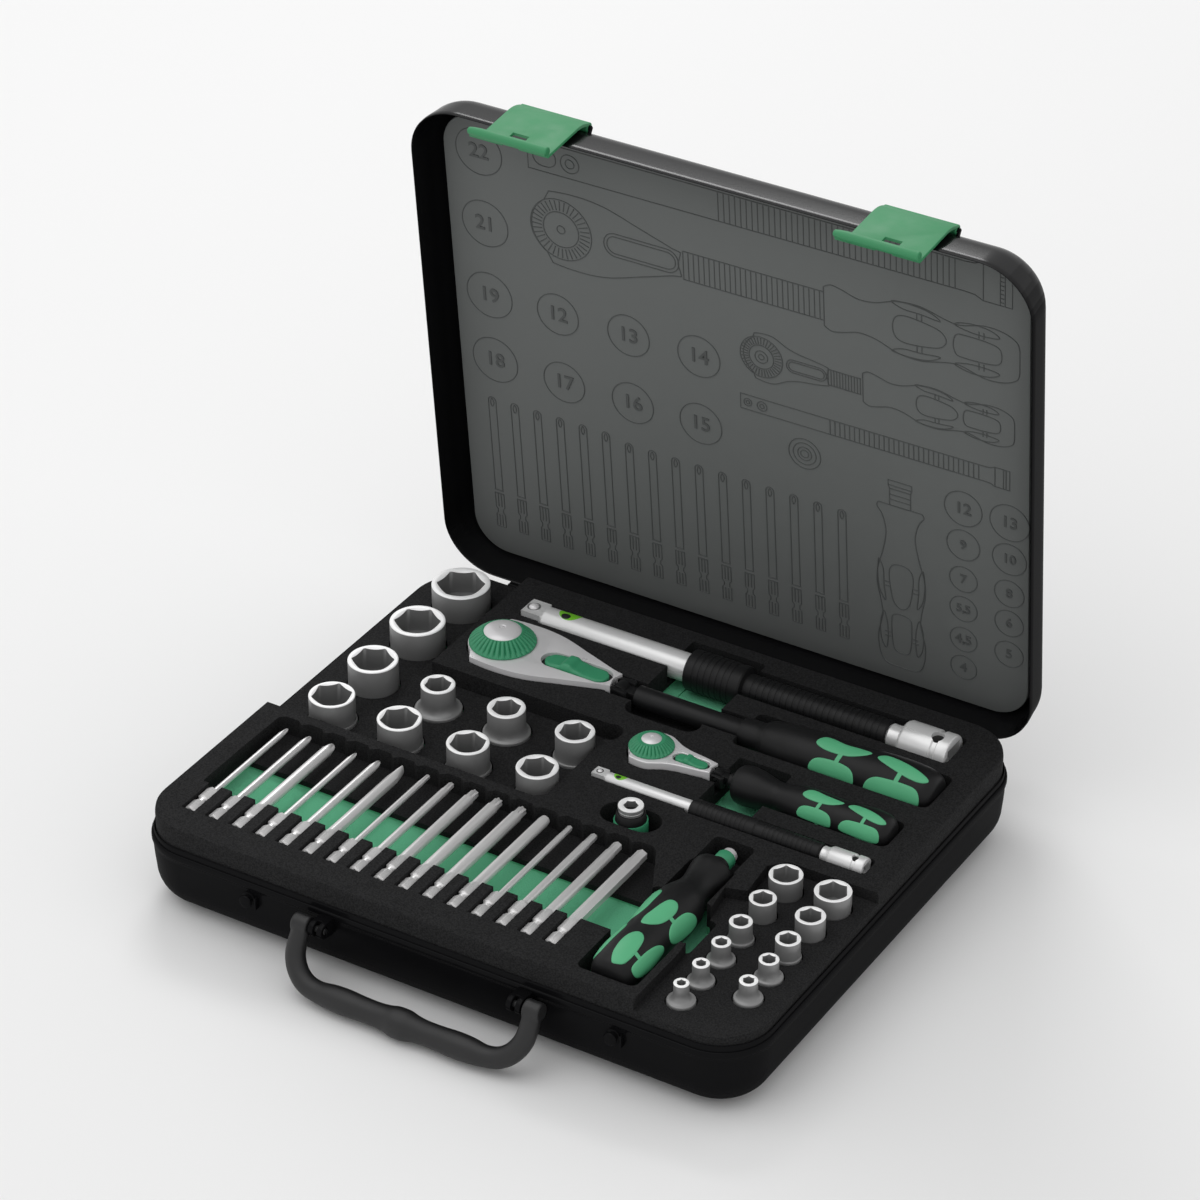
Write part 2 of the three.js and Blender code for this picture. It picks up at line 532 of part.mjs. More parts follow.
function foamTray() {
  const body = caseLoft([
    ...rounding(BASE_DRAFT + 1.4, BASE_ROUND - 1.4, FOAM.floor, 1), [FOAM.inset, 33],
    [FOAM.inset, FOAM.top - 3.5], [FOAM.inset + 0.7, FOAM.top]]);
  const lowBack = outline([[-175, -26.5], [-6, -26.5], [-7, 45], [-117, 46], [-117, 150],
    [-175, 150]]);
  const lowFront = outline([[111, -150], [111, -98], [108, -72], [104, -43], [114.5, -40],
    [112.5, -18], [120, -10], [175, -10], [175, -150]]);
  const cuts = [
    pocket(lowBack, FOAM.socketLevel),
    pocket(lowFront, FOAM.smallLevel),
    pocket(roundedBox(-155.5, -98.5, 76, -61.5, 1), 36, 2),
    pocket(roundedBox(-155.5, -62.5, 76, -32.5, 1), 40, 2),
    ...ratchetPocket(LARGE_RATCHET),
    ...ratchetPocket(SMALL_RATCHET),
    ...extensionPocket(LARGE_EXTENSION),
    ...extensionPocket(SMALL_EXTENSION),
    pocket(roundedBox(-13.5, 84, 29, 130, 2), 36, 2),
    pocket(roundedBox(-14, 58, 28, 72, 6.9), 42),
    pocket(roundedBox(57.5, 11, 87, 53, 2), 36, 2),
    pocket(roundedBox(21.5, -26, 53.5, -8.5, 8.7), 24),
    pocket(roundedBox(80, -36, 102, -8, 3), 36, 2),
    pocket(roundedBox(75, -134, 107, -30, 4), 33, 2),
    pocket(roundedBox(104, -90, 111.5, -62, 3), 36, 2),
  ];
  for (let i = 0; i < BIT.count; i += 1) {
    const x = BIT.firstX + BIT.pitch * i;
    cuts.push(block(x - 3.75, -121.5, 43, x + 3.75, -98, ABOVE));
  }
  const wells = [[LARGE_SOCKETS, LARGE_SOCKET], [SMALL_SOCKETS, SMALL_SOCKET]];
  wells.forEach(([sockets, kind]) => sockets.forEach(([, x, y, topD, baseD]) => {
    const r = Math.max(topD, baseD) / 2 + PLAY;
    const floor = kind.top - kind.length - GAP;
    cuts.push(turnedZ([[r, floor], [r, ABOVE]], 12, x, y));
  }));
  return cut(body, cuts[0].add(cuts[1]), ...cuts.slice(2));
}

function lidLiner() {
  const shape = roundedBox(-HALF_W + LINER.inset, -HALF_D + LINER.inset, HALF_W - LINER.inset,
    HALF_D - LINER.inset, LINER.cornerR);
  const slab = prism(shape, LINER.face, LINER.back, 6);
  const inside = caseLoft([[3, 40],
    ...rounding(LID_DRAFT + 1.35, LID_ROUND - 1.35, CASE.closedH - 1.35, -1).reverse()]);
  const dimples = [LARGE_RATCHET, SMALL_RATCHET].map((r) => turnedZ(
    [[r.capR + 1.6, LINER.face - 1], [r.capR + 1.6, r.capTop + 0.5]], 20, r.headX, r.y));
  return cut(slab.intersect(inside), ...dimples);
}

// ---- the assembly -------------------------------------------------------------------------
const assembly = new THREE.Group();

function put(parent, name, body, finish) {
  const geometry = body.isBufferGeometry ? body : toGeometry(body);
  const mesh = new THREE.Mesh(geometry, new THREE.MeshStandardMaterial(FINISH[finish]));
  mesh.name = name;
  parent.add(mesh);
}

put(assembly, 'base_shell', baseShell(), 'caseBlack');
put(assembly, 'foam_tray', foamTray(), 'foamBlack');
put(assembly, 'carry_handle', carryHandle(), 'gripBlack');
const pinHalf = HINGE.halfLength + 1;
put(assembly, 'hinge_pin', rodX(-pinHalf, pinHalf, HINGE.pinR, HINGE.y, HINGE.z, 8), 'caseBlack');

// The lid's pieces are built closed, in a group that turns about the hinge line.
const lid = new THREE.Group();
lid.position.set(0, HINGE.y, HINGE.z);
lid.rotation.x = -LID_OPEN;
const closed = new THREE.Group();
closed.position.set(0, -HINGE.y, -HINGE.z);
lid.add(closed);
assembly.add(lid);
put(closed, 'lid_shell', lidShell(), 'caseBlack');
put(closed, 'lid_liner', lidLiner(), 'linerGrey');
put(closed, 'latch_left', latch(LATCH_X[0]), 'green');
put(closed, 'latch_right', latch(LATCH_X[1]), 'green');

[['large', LARGE_RATCHET], ['small', SMALL_RATCHET]].forEach(([size, r]) => {
  put(assembly, `${size}_ratchet_handle`, ratchetHandle(r), 'gripBlack');
  put(assembly, `${size}_ratchet_head`, ratchetHead(r), 'polished');
  put(assembly, `${size}_ratchet_thumb_ring`, thumbRing(r), 'green');
  put(assembly, `${size}_ratchet_switch`, slideSwitch(r), 'green');
});
[['large', LARGE_EXTENSION], ['small', SMALL_EXTENSION]].forEach(([size, e]) => {
  put(assembly, `${size}_extension_shaft`, extensionShaft(e), 'satinSteel');
  put(assembly, `${size}_extension_sleeve`, extensionSleeve(e), 'gripBlack');
});
put(assembly, 'bit_adaptor', adaptor(), 'satinSteel');
put(assembly, 'driver_handle', driverHandle(), 'gripBlack');
put(assembly, 'driver_collar', driverCollar(), 'green');

LARGE_SOCKETS.forEach((row) => {
  put(assembly, `socket_half_${row[0]}`, socket(row, LARGE_SOCKET, 12), 'satinSteel');
});
SMALL_SOCKETS.forEach((row) => {
  const size = String(row[0]).replace('.', '_');
  put(assembly, `socket_quarter_${size}`, socket(row, SMALL_SOCKET, 10), 'satinSteel');
});
for (let i = 0; i < BIT.count; i += 1) {
  const number = String(i + 1).padStart(2, '0');
  put(assembly, `bit_${number}`, bit(i), 'satinSteel');
}

export default assembly;
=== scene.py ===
"""Looks of the socket wrench set in its steel case, around the fixed frame.

Shapes are worked out in millimetres in the frame's own axes and scaled to metres
when a piece is made.
"""

import math

import bmesh
import bpy
from mathutils import Matrix, Vector


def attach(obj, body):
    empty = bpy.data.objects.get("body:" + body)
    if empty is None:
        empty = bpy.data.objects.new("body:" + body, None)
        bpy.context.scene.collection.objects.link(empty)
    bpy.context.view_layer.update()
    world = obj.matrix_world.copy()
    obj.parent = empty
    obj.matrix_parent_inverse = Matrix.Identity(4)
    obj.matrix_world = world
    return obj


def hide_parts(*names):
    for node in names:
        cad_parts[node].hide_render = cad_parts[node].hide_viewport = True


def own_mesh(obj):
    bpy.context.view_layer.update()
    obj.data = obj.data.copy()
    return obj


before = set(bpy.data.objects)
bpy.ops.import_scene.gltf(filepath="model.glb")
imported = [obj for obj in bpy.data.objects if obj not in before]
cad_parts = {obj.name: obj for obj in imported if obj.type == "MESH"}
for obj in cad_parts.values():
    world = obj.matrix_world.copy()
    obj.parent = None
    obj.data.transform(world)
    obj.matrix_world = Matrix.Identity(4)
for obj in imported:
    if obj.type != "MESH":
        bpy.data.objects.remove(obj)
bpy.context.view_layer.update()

MM = 0.001
TAU = 2 * math.pi


# ---- driving dimensions, millimetres ----------------------------------------------------------
CASE_W, CASE_D, CORNER_R = 341.0, 282.2, 28.5
HALF_W, HALF_D = CASE_W / 2, CASE_D / 2
BASE_H, LIP_TOP, CLOSED_H = 37.0, 40.0, 65.0
BASE_ROUND, LID_ROUND = 18.5, 17.0
BASE_DRAFT, LID_DRAFT = 1.7, 1.0
HINGE_Y, HINGE_Z = 143.6, 37.1
LID_OPEN = math.radians(84.34)
FOAM_TOP, SOCKET_LEVEL, SMALL_LEVEL, GREEN_TOP = 50.5, 40.5, 44.5, 37.0
LINER_FACE, LINER_BACK = 52.5, 63.2
LATCHES = (("left", -99.0, -100.8), ("right", 100.85, 101.5))   # side, latch x, catch stud x
LATCH_Y, LATCH_Z = -139.0, 59.2
CARRY_Y, CARRY_Z = -148.5, 32.0

HINGE = Vector((0, HINGE_Y, HINGE_Z))
OPENED = (Matrix.Translation(HINGE) @ Matrix.Rotation(-LID_OPEN, 4, "X")
          @ Matrix.Translation(-HINGE))


# ---- materials --------------------------------------------------------------------------------
COAT_ROUGHNESS = 0.2
BROAD_TO_FINE = 12
FOAM_GREEN = (0.13, 0.47, 0.27, 1)


def node_tools(owner):
    """Two short calls for a material's nodes: add(kind, Input_Name=value) and link()."""
    tree = owner.node_tree

    def add(kind, **values):
        node = tree.nodes.new("ShaderNode" + kind)
        for key, value in values.items():
            node.inputs[key.replace("_", " ")].default_value = value
        return node

    def link(source, output, target, key):
        tree.links.new(source.outputs[output], target.inputs[key])
    return add, link


def material(name, color, roughness, metallic=0.0, coat=0.0, grain=900.0, depth=0.02, mottle=0.08,
             spread=0.06, stretch=(1, 1, 1), specular=0.5, speckled=False):
    """Principled shader whose colour, roughness and fine relief vary with object-space noise."""
    made = bpy.data.materials.new(name)
    made.use_nodes = True
    add, link = node_tools(made)
    shader = made.node_tree.nodes["Principled BSDF"]
    for key, value in (("Metallic", metallic), ("Coat Weight", coat),
                       ("Coat Roughness", COAT_ROUGHNESS), ("Specular IOR Level", specular)):
        shader.inputs[key].default_value = value
    mapping = add("Mapping", Scale=stretch)
    link(add("TexCoord"), "Object", mapping, "Vector")
    broad = add("TexNoise", Scale=grain / BROAD_TO_FINE, Detail=4)
    fine = add("TexNoise", Scale=grain, Detail=3)
    for noise in (broad, fine):
        link(mapping, "Vector", noise, "Vector")
    tint = add("Mix")
    tint.data_type = "RGBA"
    tint.inputs["A"].default_value = [c * (1 - mottle) for c in color] + [1]
    tint.inputs["B"].default_value = [min(1, c * (1 + mottle)) for c in color] + [1]
    if speckled:
        contrast = add("MapRange", From_Min=0.36, From_Max=0.64)
        link(fine, "Fac", contrast, "Value")
        link(contrast, "Result", tint, "Factor")
    else:
        link(broad, "Fac", tint, "Factor")
    link(tint, "Result", shader, "Base Color")
    gloss = add("MapRange", From_Min=0.3, From_Max=0.7, To_Min=max(0.02, roughness - spread),
                To_Max=roughness + spread)
    link(broad, "Fac", gloss, "Value")
    link(gloss, "Result", shader, "Roughness")
    bump = add("Bump", Distance=depth * MM)
    link(fine, "Fac", bump, "Height")
    link(bump, "Normal", shader, "Normal")
    return made


def foam_material():
    """Black foam sheet on a green one: the colour changes at the height where the sheets meet."""
    made = material("foam_two_layers", (0.0165, 0.0165, 0.017), 0.9, grain=1300, depth=0.3,
                    mottle=0.42, spread=0.05, specular=0.12, speckled=True)
    add, link = node_tools(made)
    shader = made.node_tree.nodes["Principled BSDF"]
    black = shader.inputs["Base Color"].links[0].from_socket
    split = add("SeparateXYZ")
    link(add("TexCoord"), "Object", split, "Vector")
    below = add("Math")
    below.operation = "LESS_THAN"
    below.inputs[1].default_value = GREEN_TOP * MM
    made.node_tree.links.new(split.outputs["Z"], below.inputs[0])
    choose = add("Mix")
    choose.data_type = "RGBA"
    choose.inputs["B"].default_value = FOAM_GREEN
    link(below, "Value", choose, "Factor")
    made.node_tree.links.new(black, choose.inputs["A"])
    link(choose, "Result", shader, "Base Color")
    return made


ENAMEL_COATS = (0.12, 0.2, 0.32, 0.46, 0.6, 0.75)
ENAMELS = [material(f"case_enamel_{i}", (0.005, 0.005, 0.0055), 0.4, coat=coat, grain=700,
                    depth=0.006, mottle=0.1, spread=0.04, specular=0.0)
           for i, coat in enumerate(ENAMEL_COATS)]
ENAMEL = ENAMELS[0]
FOAM = foam_material()
LINER = material("liner_sheet", (0.132, 0.139, 0.136), 0.72, grain=1600, depth=0.03, mottle=0.05,
                 specular=0.3)
LATCH_GREEN = material("latch_green", (0.033, 0.24, 0.095), 0.55, grain=1200, depth=0.01,
                       mottle=0.05)
PAD_GREEN = material("pad_green", (0.09, 0.43, 0.21), 0.5, grain=1500, depth=0.02, mottle=0.06)
RING_GREEN = material("ring_green", (0.035, 0.27, 0.13), 0.5, grain=1500, depth=0.015,
                      mottle=0.08)
GRIP = material("grip_black", (0.0075, 0.0075, 0.008), 0.45, grain=1300, depth=0.02, mottle=0.12,
                specular=0.25)
HANDLE = material("carry_black", (0.009, 0.009, 0.0095), 0.48, grain=1300, depth=0.03,
                  mottle=0.15)
SATIN = material("satin_steel", (0.52, 0.52, 0.52), 0.36, metallic=0.92, grain=900, depth=0.01,
                 mottle=0.05, stretch=(1, 1, 0.12))
SATIN_BAR = material("satin_steel_bar", (0.8, 0.8, 0.8), 0.32, metallic=0.4, grain=900,
                     depth=0.01, mottle=0.04, stretch=(0.1, 1, 1))
POLISHED = material("polished_steel", (0.74, 0.73, 0.74), 0.3, metallic=0.25, grain=500,
                    depth=0.006, mottle=0.04, spread=0.04)
SOCKET = material("socket_steel", (0.25, 0.25, 0.25), 0.38, metallic=0.35, grain=900, depth=0.01,
                  mottle=0.05)
# Near-white steel: painted highlight for the up-facing faces at the top of the sockets and the
# adaptor.
RIM_PAINTED_HIGHLIGHT = material("rim_painted_highlight", (0.95, 0.95, 0.95), 0.4, metallic=0.1, grain=900, depth=0.005,
                     mottle=0.03)
BIT_STEEL = material("bit_steel", (0.8, 0.79, 0.79), 0.33, metallic=0.5, grain=900, depth=0.008,
                     mottle=0.04, stretch=(1, 0.1, 1))
STAMP = material("stamp_grey", (0.12, 0.12, 0.12), 0.5, grain=900, depth=0.005)
# Darker grey for the liner's raised lines and digits: painted shade along the embossing, on top of
# their relief.
PAINTED_SHADE_LINES = material("liner_emboss_painted_shade", (0.07, 0.074, 0.073), 0.7, grain=1600, depth=0.01)
# Near-black: painted shade in the switch slots, the bars' pin holes and round the small bar's ball;
# also the real black print of the bars' dots.
SHADE_AND_BLACK_PRINT = material("painted_shade_and_black_print", (0.004, 0.004, 0.004), 0.6, grain=900, depth=0.01)
LIME = material("lime_mark", (0.16, 0.5, 0.02), 0.45, grain=900, depth=0.005)


# ---- mesh making ------------------------------------------------------------------------------
class Shape:
    """Vertices in millimetres and faces, before they become a Blender mesh."""

    def __init__(self, verts=(), faces=()):
        self.verts = [tuple(v) for v in verts]
        self.faces = [tuple(f) for f in faces]

    def add(self, *others):
        for other in others:
            start = len(self.verts)
            self.verts += other.verts
            self.faces += [tuple(i + start for i in f) for f in other.faces]
        return self

    def map(self, change):
        return Shape([change(*v) for v in self.verts], self.faces)

    def shift(self, x=0.0, y=0.0, z=0.0):
        return self.map(lambda a, b, c: (a + x, b + y, c + z))

    def along_x(self):
        return self.map(lambda x, y, z: (z, x, y))

    def along_y(self):
        return self.map(lambda x, y, z: (y, z, x))


def loft(rings, caps=True):
    """Skin through rings of equal point count, capped at both ends unless they are left open."""
    count = len(rings[0])
    shape = Shape([p for ring in rings for p in ring])
    for level in range(len(rings) - 1):
        for i in range(count):
            a, b = level * count + i, level * count + (i + 1) % count
            shape.faces.append((a, b, b + count, a + count))
    if caps:
        last = (len(rings) - 1) * count
        shape.faces.append(tuple(reversed(range(count))))
        shape.faces.append(tuple(range(last, last + count)))
    return shape


def circle(radius, z, steps, wave=None):
    """Ring about the vertical; wave(angle) multiplies the radius."""
    points = []
    for i in range(steps):
        angle = TAU * i / steps
        r = radius * (wave(angle) if wave else 1)
        points.append((r * math.cos(angle), r * math.sin(angle), z))
    return points


def turn(profile, steps=48, wave=None):
    """Turned body; the profile is (radius, height) pairs, and the ends are closed flat."""
    return loft([circle(max(r, 0.02), z, steps, wave) for r, z in profile])


def closed_tube(rings):
    """Skin through rings whose last one joins the first."""
    steps, count = len(rings[0]), len(rings)
    shape = Shape([p for ring in rings for p in ring])
    for level in range(count):
        after = (level + 1) % count
        for i in range(steps):
            j = (i + 1) % steps
            shape.faces.append((level * steps + i, level * steps + j, after * steps + j,
                                after * steps + i))
    return shape


def turn_tube(profile, steps=48):
    """Turned body with a hole; the profile runs round the wall and closes on itself."""
    return closed_tube([circle(r, z, steps) for r, z in profile])


def polygon_wave(sides, turned=0.0):
    """Multiplier that turns a circle through the corners into a regular polygon."""
    def wave(angle):
        part = TAU / sides
        local = (angle - turned) % part - part / 2
        return math.cos(part / 2) / math.cos(local)
    return wave


def box(x0, y0, z0, x1, y1, z1):
    return loft([[(x0, y0, z), (x1, y0, z), (x1, y1, z), (x0, y1, z)] for z in (z0, z1)])


def prism(points, z0, z1):
    return loft([[(x, y, z) for x, y in points] for z in (z0, z1)])


def arc(cx, cy, r, start, end, steps=8):
    return [(cx + r * math.cos(start + (end - start) * i / steps),
             cy + r * math.sin(start + (end - start) * i / steps)) for i in range(steps + 1)]


def rounded_box(x0, y0, x1, y1, r, steps=8):
    quarter = TAU / 4
    return (arc(x1 - r, y0 + r, r, -quarter, 0, steps) + arc(x1 - r, y1 - r, r, 0, quarter, steps)
            + arc(x0 + r, y1 - r, r, quarter, 2 * quarter, steps)
            + arc(x0 + r, y0 + r, r, 2 * quarter, 3 * quarter, steps))


def smooth_line(points, steps=6, closed=False):
    """Catmull-Rom curve through points of any dimension."""
    count = len(points)
    found = []
    spans = count if closed else count - 1
    for i in range(spans):
        if closed:
            p = [points[(i + k - 1) % count] for k in range(4)]
        else:
            p = [points[min(max(i + k - 1, 0), count - 1)] for k in range(4)]
        for step in range(steps):
            t = step / steps
            found.append(tuple(
                0.5 * (2 * b + (c - a) * t + (2 * a - 5 * b + 4 * c - d) * t * t
                       + (3 * b - a - 3 * c + d) * t * t * t)
                for a, b, c, d in zip(*p)))
    if not closed:
        found.append(tuple(points[-1]))
    return found


def sweep(path, radii, sides=20, flatten=1.0):
    """Tube of changing radius along a path that lies in one plane of constant Y."""
    rings = []
    for i, (p, r) in enumerate(zip(path, radii)):
        before, after = path[max(i - 1, 0)], path[min(i + 1, len(path) - 1)]
        along = (Vector(after) - Vector(before)).normalized()
        across = Vector((0, 1, 0))
        other = along.cross(across).normalized()
        rings.append([tuple(Vector(p) + across * (r * flatten * math.cos(TAU * k / sides))
                            + other * (r * math.sin(TAU * k / sides))) for k in range(sides)])
    return loft(rings)


def evaluated(obj):
    """Bakes the object's modifiers into its mesh."""
    graph = bpy.context.evaluated_depsgraph_get()
    mesh = bpy.data.meshes.new_from_object(obj.evaluated_get(graph))
    old = obj.data
    obj.modifiers.clear()
    obj.data = mesh
    bpy.data.meshes.remove(old)
    return obj


def to_object(name, shape, look=None, place=None):
    mesh = bpy.data.meshes.new(name)
    verts = [Vector(v) for v in shape.verts]
    if place is not None:
        verts = [place @ v for v in verts]
    mesh.from_pydata([v * MM for v in verts], [], shape.faces)
    mesh.validate()
    work = bmesh.new()
    work.from_mesh(mesh)
    bmesh.ops.recalc_face_normals(work, faces=work.faces)
    work.to_mesh(mesh)
    work.free()
    obj = bpy.data.objects.new(name, mesh)
    bpy.context.scene.collection.objects.link(obj)
    if look is not None:
        mesh.materials.append(look)
    return obj


def carve(obj, cutter_shape, operation="DIFFERENCE"):
    """Cuts (or joins) one shape out of an object."""
    cutter = to_object(obj.name + "_cutter", cutter_shape)
    change = obj.modifiers.new("cut", "BOOLEAN")
    change.object = cutter
    change.operation = operation
    change.solver = "EXACT"
    evaluated(obj)
    bpy.data.objects.remove(cutter)
    return obj


def soften(obj, width, segments=2, angle=35):
    change = obj.modifiers.new("bevel", "BEVEL")
    change.width = width * MM
    change.segments = segments
    change.limit_method = "ANGLE"
    change.angle_limit = math.radians(angle)
    change.harden_normals = False
    return evaluated(obj)


def finish_piece(obj, body, slot, replaces=(), crease=38):
    """Smooth shading up to a crease angle, then the piece rides on its body."""
    obj.data.shade_smooth()
    obj.data.set_sharp_from_angle(angle=math.radians(crease))
    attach(obj, body)
    if replaces:
        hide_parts(*replaces)
    return obj


def piece(name, shape, look, body, slot, replaces=(), place=None, bevel=0.0, crease=38):
    obj = to_object(name, shape, look, place)
    if bevel:
        soften(obj, bevel)
    return finish_piece(obj, body, slot, replaces, crease)


# ---- the steel case ---------------------------------------------------------------------------
CORNER_STEPS = 14


def case_ring(inset, z):
    return [(x, y, z) for x, y in rounded_box(
        -HALF_W + inset, -HALF_D + inset, HALF_W - inset, HALF_D - inset,
        max(CORNER_R - inset, 3), CORNER_STEPS)]


def case_loft(profile):
    return loft([case_ring(inset, z) for inset, z in profile])


def quarter_round(wall, radius, z, direction, steps=10):
    """Flat floor into wall, as (inset, height) pairs."""
    angles = [TAU / 4 * i / steps for i in range(steps + 1)]
    return [(wall + radius * (1 - math.sin(a)), z + direction * radius * (1 - math.cos(a)))
            for a in angles]


def base_shell():
    outside = quarter_round(BASE_DRAFT, BASE_ROUND, 0, 1) + [
        (1.25, 23), (0.95, 27), (0.75, 31), (0.72, 32.6), (0.45, 33.1), (0.12, 33.6), (0, 34.2),
        (0, 35.8), (0.14, 36.5), (0.5, 36.95), (0.9, 37)]
    lip = [(1.15, 37.05), (1.2, 37.3), (1.22, 39.3), (1.35, 39.8), (1.6, 40), (1.85, 39.8),
           (2.0, 39.3)]
    inside = [(2.0, 33)] + list(reversed(quarter_round(BASE_DRAFT + 1, BASE_ROUND - 1, 1, 1)))
    shell = to_object("base_case", case_loft(outside + lip + inside), ENAMEL)
    finish_piece(shell, "case", "case_black", ["base_shell"], 50)
    hinge_leaf("base_hinge", False)
    for side, _, stud_x in LATCHES:
        catch_stud(side, stud_x)
    for side in (-1, 1):
        handle_bracket(side)


def catch_stud(side, x):
    z, wall = 27.0, HALF_D - 1.5
    profile = [(2.2, wall), (3.9, wall + 0.4), (3.9, wall + 1.1), (2.3, wall + 1.5),
               (2.3, wall + 2.4), (3.4, wall + 2.9), (3.6, wall + 3.6), (3.2, wall + 4.3),
               (2.2, wall + 4.7), (0.9, wall + 4.8)]
    knob = turn([(r, -y) for r, y in reversed(profile)], 28).along_y().shift(x, 0, z)
    tab = box(x + 4.6, -HALF_D - 1.6, z - 3.4, x + 5.6, -HALF_D + 1.4, z + 3.2)
    piece(f"catch_stud_{side}", knob.add(tab), ENAMEL, "case", "case_black", bevel=0.15)


def handle_bracket(side):
    x0, x1 = sorted((side * 51.0, side * 58.6))
    y, z = CARRY_Y, CARRY_Z
    ear = [(-HALF_D + 1.6, z - 5), (-HALF_D - 2.5, z - 5.2)]
    ear += arc(y, z, 4, -TAU / 4, -TAU * 3 / 4, 10)
    ear += [(-HALF_D - 2.5, z + 3.6), (-HALF_D + 1.6, z + 3.2)]
    block = prism(ear, x0, x1).along_x()
    groove = box(x0 + 2.6, y - 5, z - 6, x1 - 2.6, y + 1.5, z + 6)
    bracket = to_object(f"handle_bracket_{'left' if side < 0 else 'right'}", block, ENAMEL)
    carve(bracket, turn([(2.1, x0 - 1), (2.1, x1 + 1)], 20).along_x().shift(0, y, z))
    carve(bracket, groove)
    soften(bracket, 0.3)
    finish_piece(bracket, "case", "case_black")


def hinge_leaf(name, on_lid):
    half, count, gap = 132.0, 9, 0.3
    pitch = 2 * half / count
    whole = Shape()
    for i in range(1 if on_lid else 0, count, 2):
        x0 = -half + i * pitch + gap / 2
        x1 = x0 + pitch - gap
        z0, z1 = (HINGE_Z + gap, HINGE_Z + 3.5) if on_lid else (BASE_H - 4, HINGE_Z - gap)
        wall = turn_tube([(1.2, x0), (1.2, x1), (2.2, x1), (2.2, x0)], 20)
        whole.add(wall.along_x().shift(0, HINGE_Y, HINGE_Z))
        top = HINGE_Y - 1.3
        whole.add(box(x0, HALF_D - 0.9, z0, x1, top, z1))
    piece(name, whole, ENAMEL, "lid" if on_lid else "case", "case_black",
          place=OPENED if on_lid else None)


def lid_shell():
    top, bottom = CLOSED_H, BASE_H + 0.3
    inside = quarter_round(LID_DRAFT + 1, LID_ROUND - 1, top - 1, -1, 14)
    inside += [(0.85, LIP_TOP + 1), (0.85, bottom + 0.35), (0.6, bottom)]
    outside = [(0.25, bottom), (0, bottom + 0.35), (0, bottom + 3)]
    outside += list(reversed(quarter_round(LID_DRAFT, LID_ROUND, top, -1, 14)))
    shell = to_object("lid_case", case_loft(inside + outside), ENAMEL, OPENED)
    for look in ENAMELS[1:]:
        shell.data.materials.append(look)
    front = OPENED.to_3x3() @ Vector((0, -1, 0))
    for face in shell.data.polygons:
        facing = (face.normal.dot(front) - 0.1) / 0.8
        face.material_index = round(min(max(facing, 0), 1) * (len(ENAMELS) - 1))
    finish_piece(shell, "lid", "case_black", ["lid_shell"], 50)
    hinge_leaf("lid_hinge_leaf", True)
    for side, latch_x, _ in LATCHES:
        latch_pin(side, latch_x)


def latch_pin(side, x):
    y, z, half = LATCH_Y, LATCH_Z, 19.8
    centre = Vector((-HALF_D + LID_DRAFT + LID_ROUND, CLOSED_H - LID_ROUND))
    tilt = math.atan2(z - centre.y, y - centre.x)
    rod = turn([(0.8, x - half - 1.1), (1.1, x - half - 0.8), (1.1, x + half + 0.8),
                (0.8, x + half + 1.1)], 20).along_x().shift(0, y, z)
    for end in (-1, 1):
        stem = box(-0.5, -3.8, -1.1, 0.5, 0.6, 1.1)
        cos, sin = math.cos(tilt), math.sin(tilt)
        rod.add(stem.map(lambda a, b, c: (a + x + end * (half + 0.5), y + (-b) * -cos - c * sin,
                                          z + b * sin + c * cos)))
    piece(f"latch_pin_{side}", rod, ENAMEL, "lid", "case_black", place=OPENED)


# ---- latches ----------------------------------------------------------------------------------
def latch(side, x, stud_x):
    centre_y, centre_z = -HALF_D + LID_DRAFT + LID_ROUND, CLOSED_H - LID_ROUND
    face, plate, lip_z = -143.0, 1.6, 21.5
    inner = centre_y - face
    pivot = math.atan2(LATCH_Z - centre_z, LATCH_Y - centre_y)
    section = [(face, lip_z), (face, centre_z)]
    section += arc(centre_y, centre_z, inner, TAU / 2, pivot, 8)[1:]
    section += arc(centre_y, centre_z, inner + plate, pivot, TAU / 2, 8)
    section += [(face - plate, lip_z)]
    x0, x1 = x - 19.5, x + 19.5
    clip = prism(section, x0, x1).along_x()
    body = to_object(f"latch_{side}_clip", clip, LATCH_GREEN)
    knuckle = turn([(2.3, x0), (2.6, x0 + 0.3), (2.6, x1 - 0.3), (2.3, x1)], 24)
    carve(body, knuckle.along_x().shift(0, LATCH_Y, LATCH_Z), "UNION")
    flap = [(x0 - 5.5, 22.5), (x0 - 5.0, 24.4), (x0 - 1.5, 26.0), (x0 + 2, 30), (x0 + 2, lip_z),
            (x0 - 5.5, lip_z)]
    side_plate = loft([[(a, y, b) for a, b in flap] for y in (face - plate, face)])
    carve(body, side_plate, "UNION")
    lip = turn([(1.0, x0 - 5.9), (1.7, x0 - 5.3), (2.1, x0 - 3), (2.4, x0 + 1), (2.4, x1 - 0.5),
                (2.0, x1)], 24).along_x().shift(0, face - plate - 2, lip_z)
    carve(body, lip, "UNION")
    bore = turn([(1.4, x0 - 1), (1.4, x1 + 1)], 20).along_x().shift(0, LATCH_Y, LATCH_Z)
    carve(body, bore)
    slot = box(stud_x - 4.6, -144.9, lip_z - 4, stud_x + 4.6, face + 3, 31.8)
    carve(body, slot)
    soften(body, 0.25, 2, 40)
    body.data.transform(Matrix.Scale(1 / MM, 4))
    body.data.transform(OPENED)
    body.data.transform(Matrix.Scale(MM, 4))
    finish_piece(body, f"latch_{side}", "latch_green", [f"latch_{side}"])


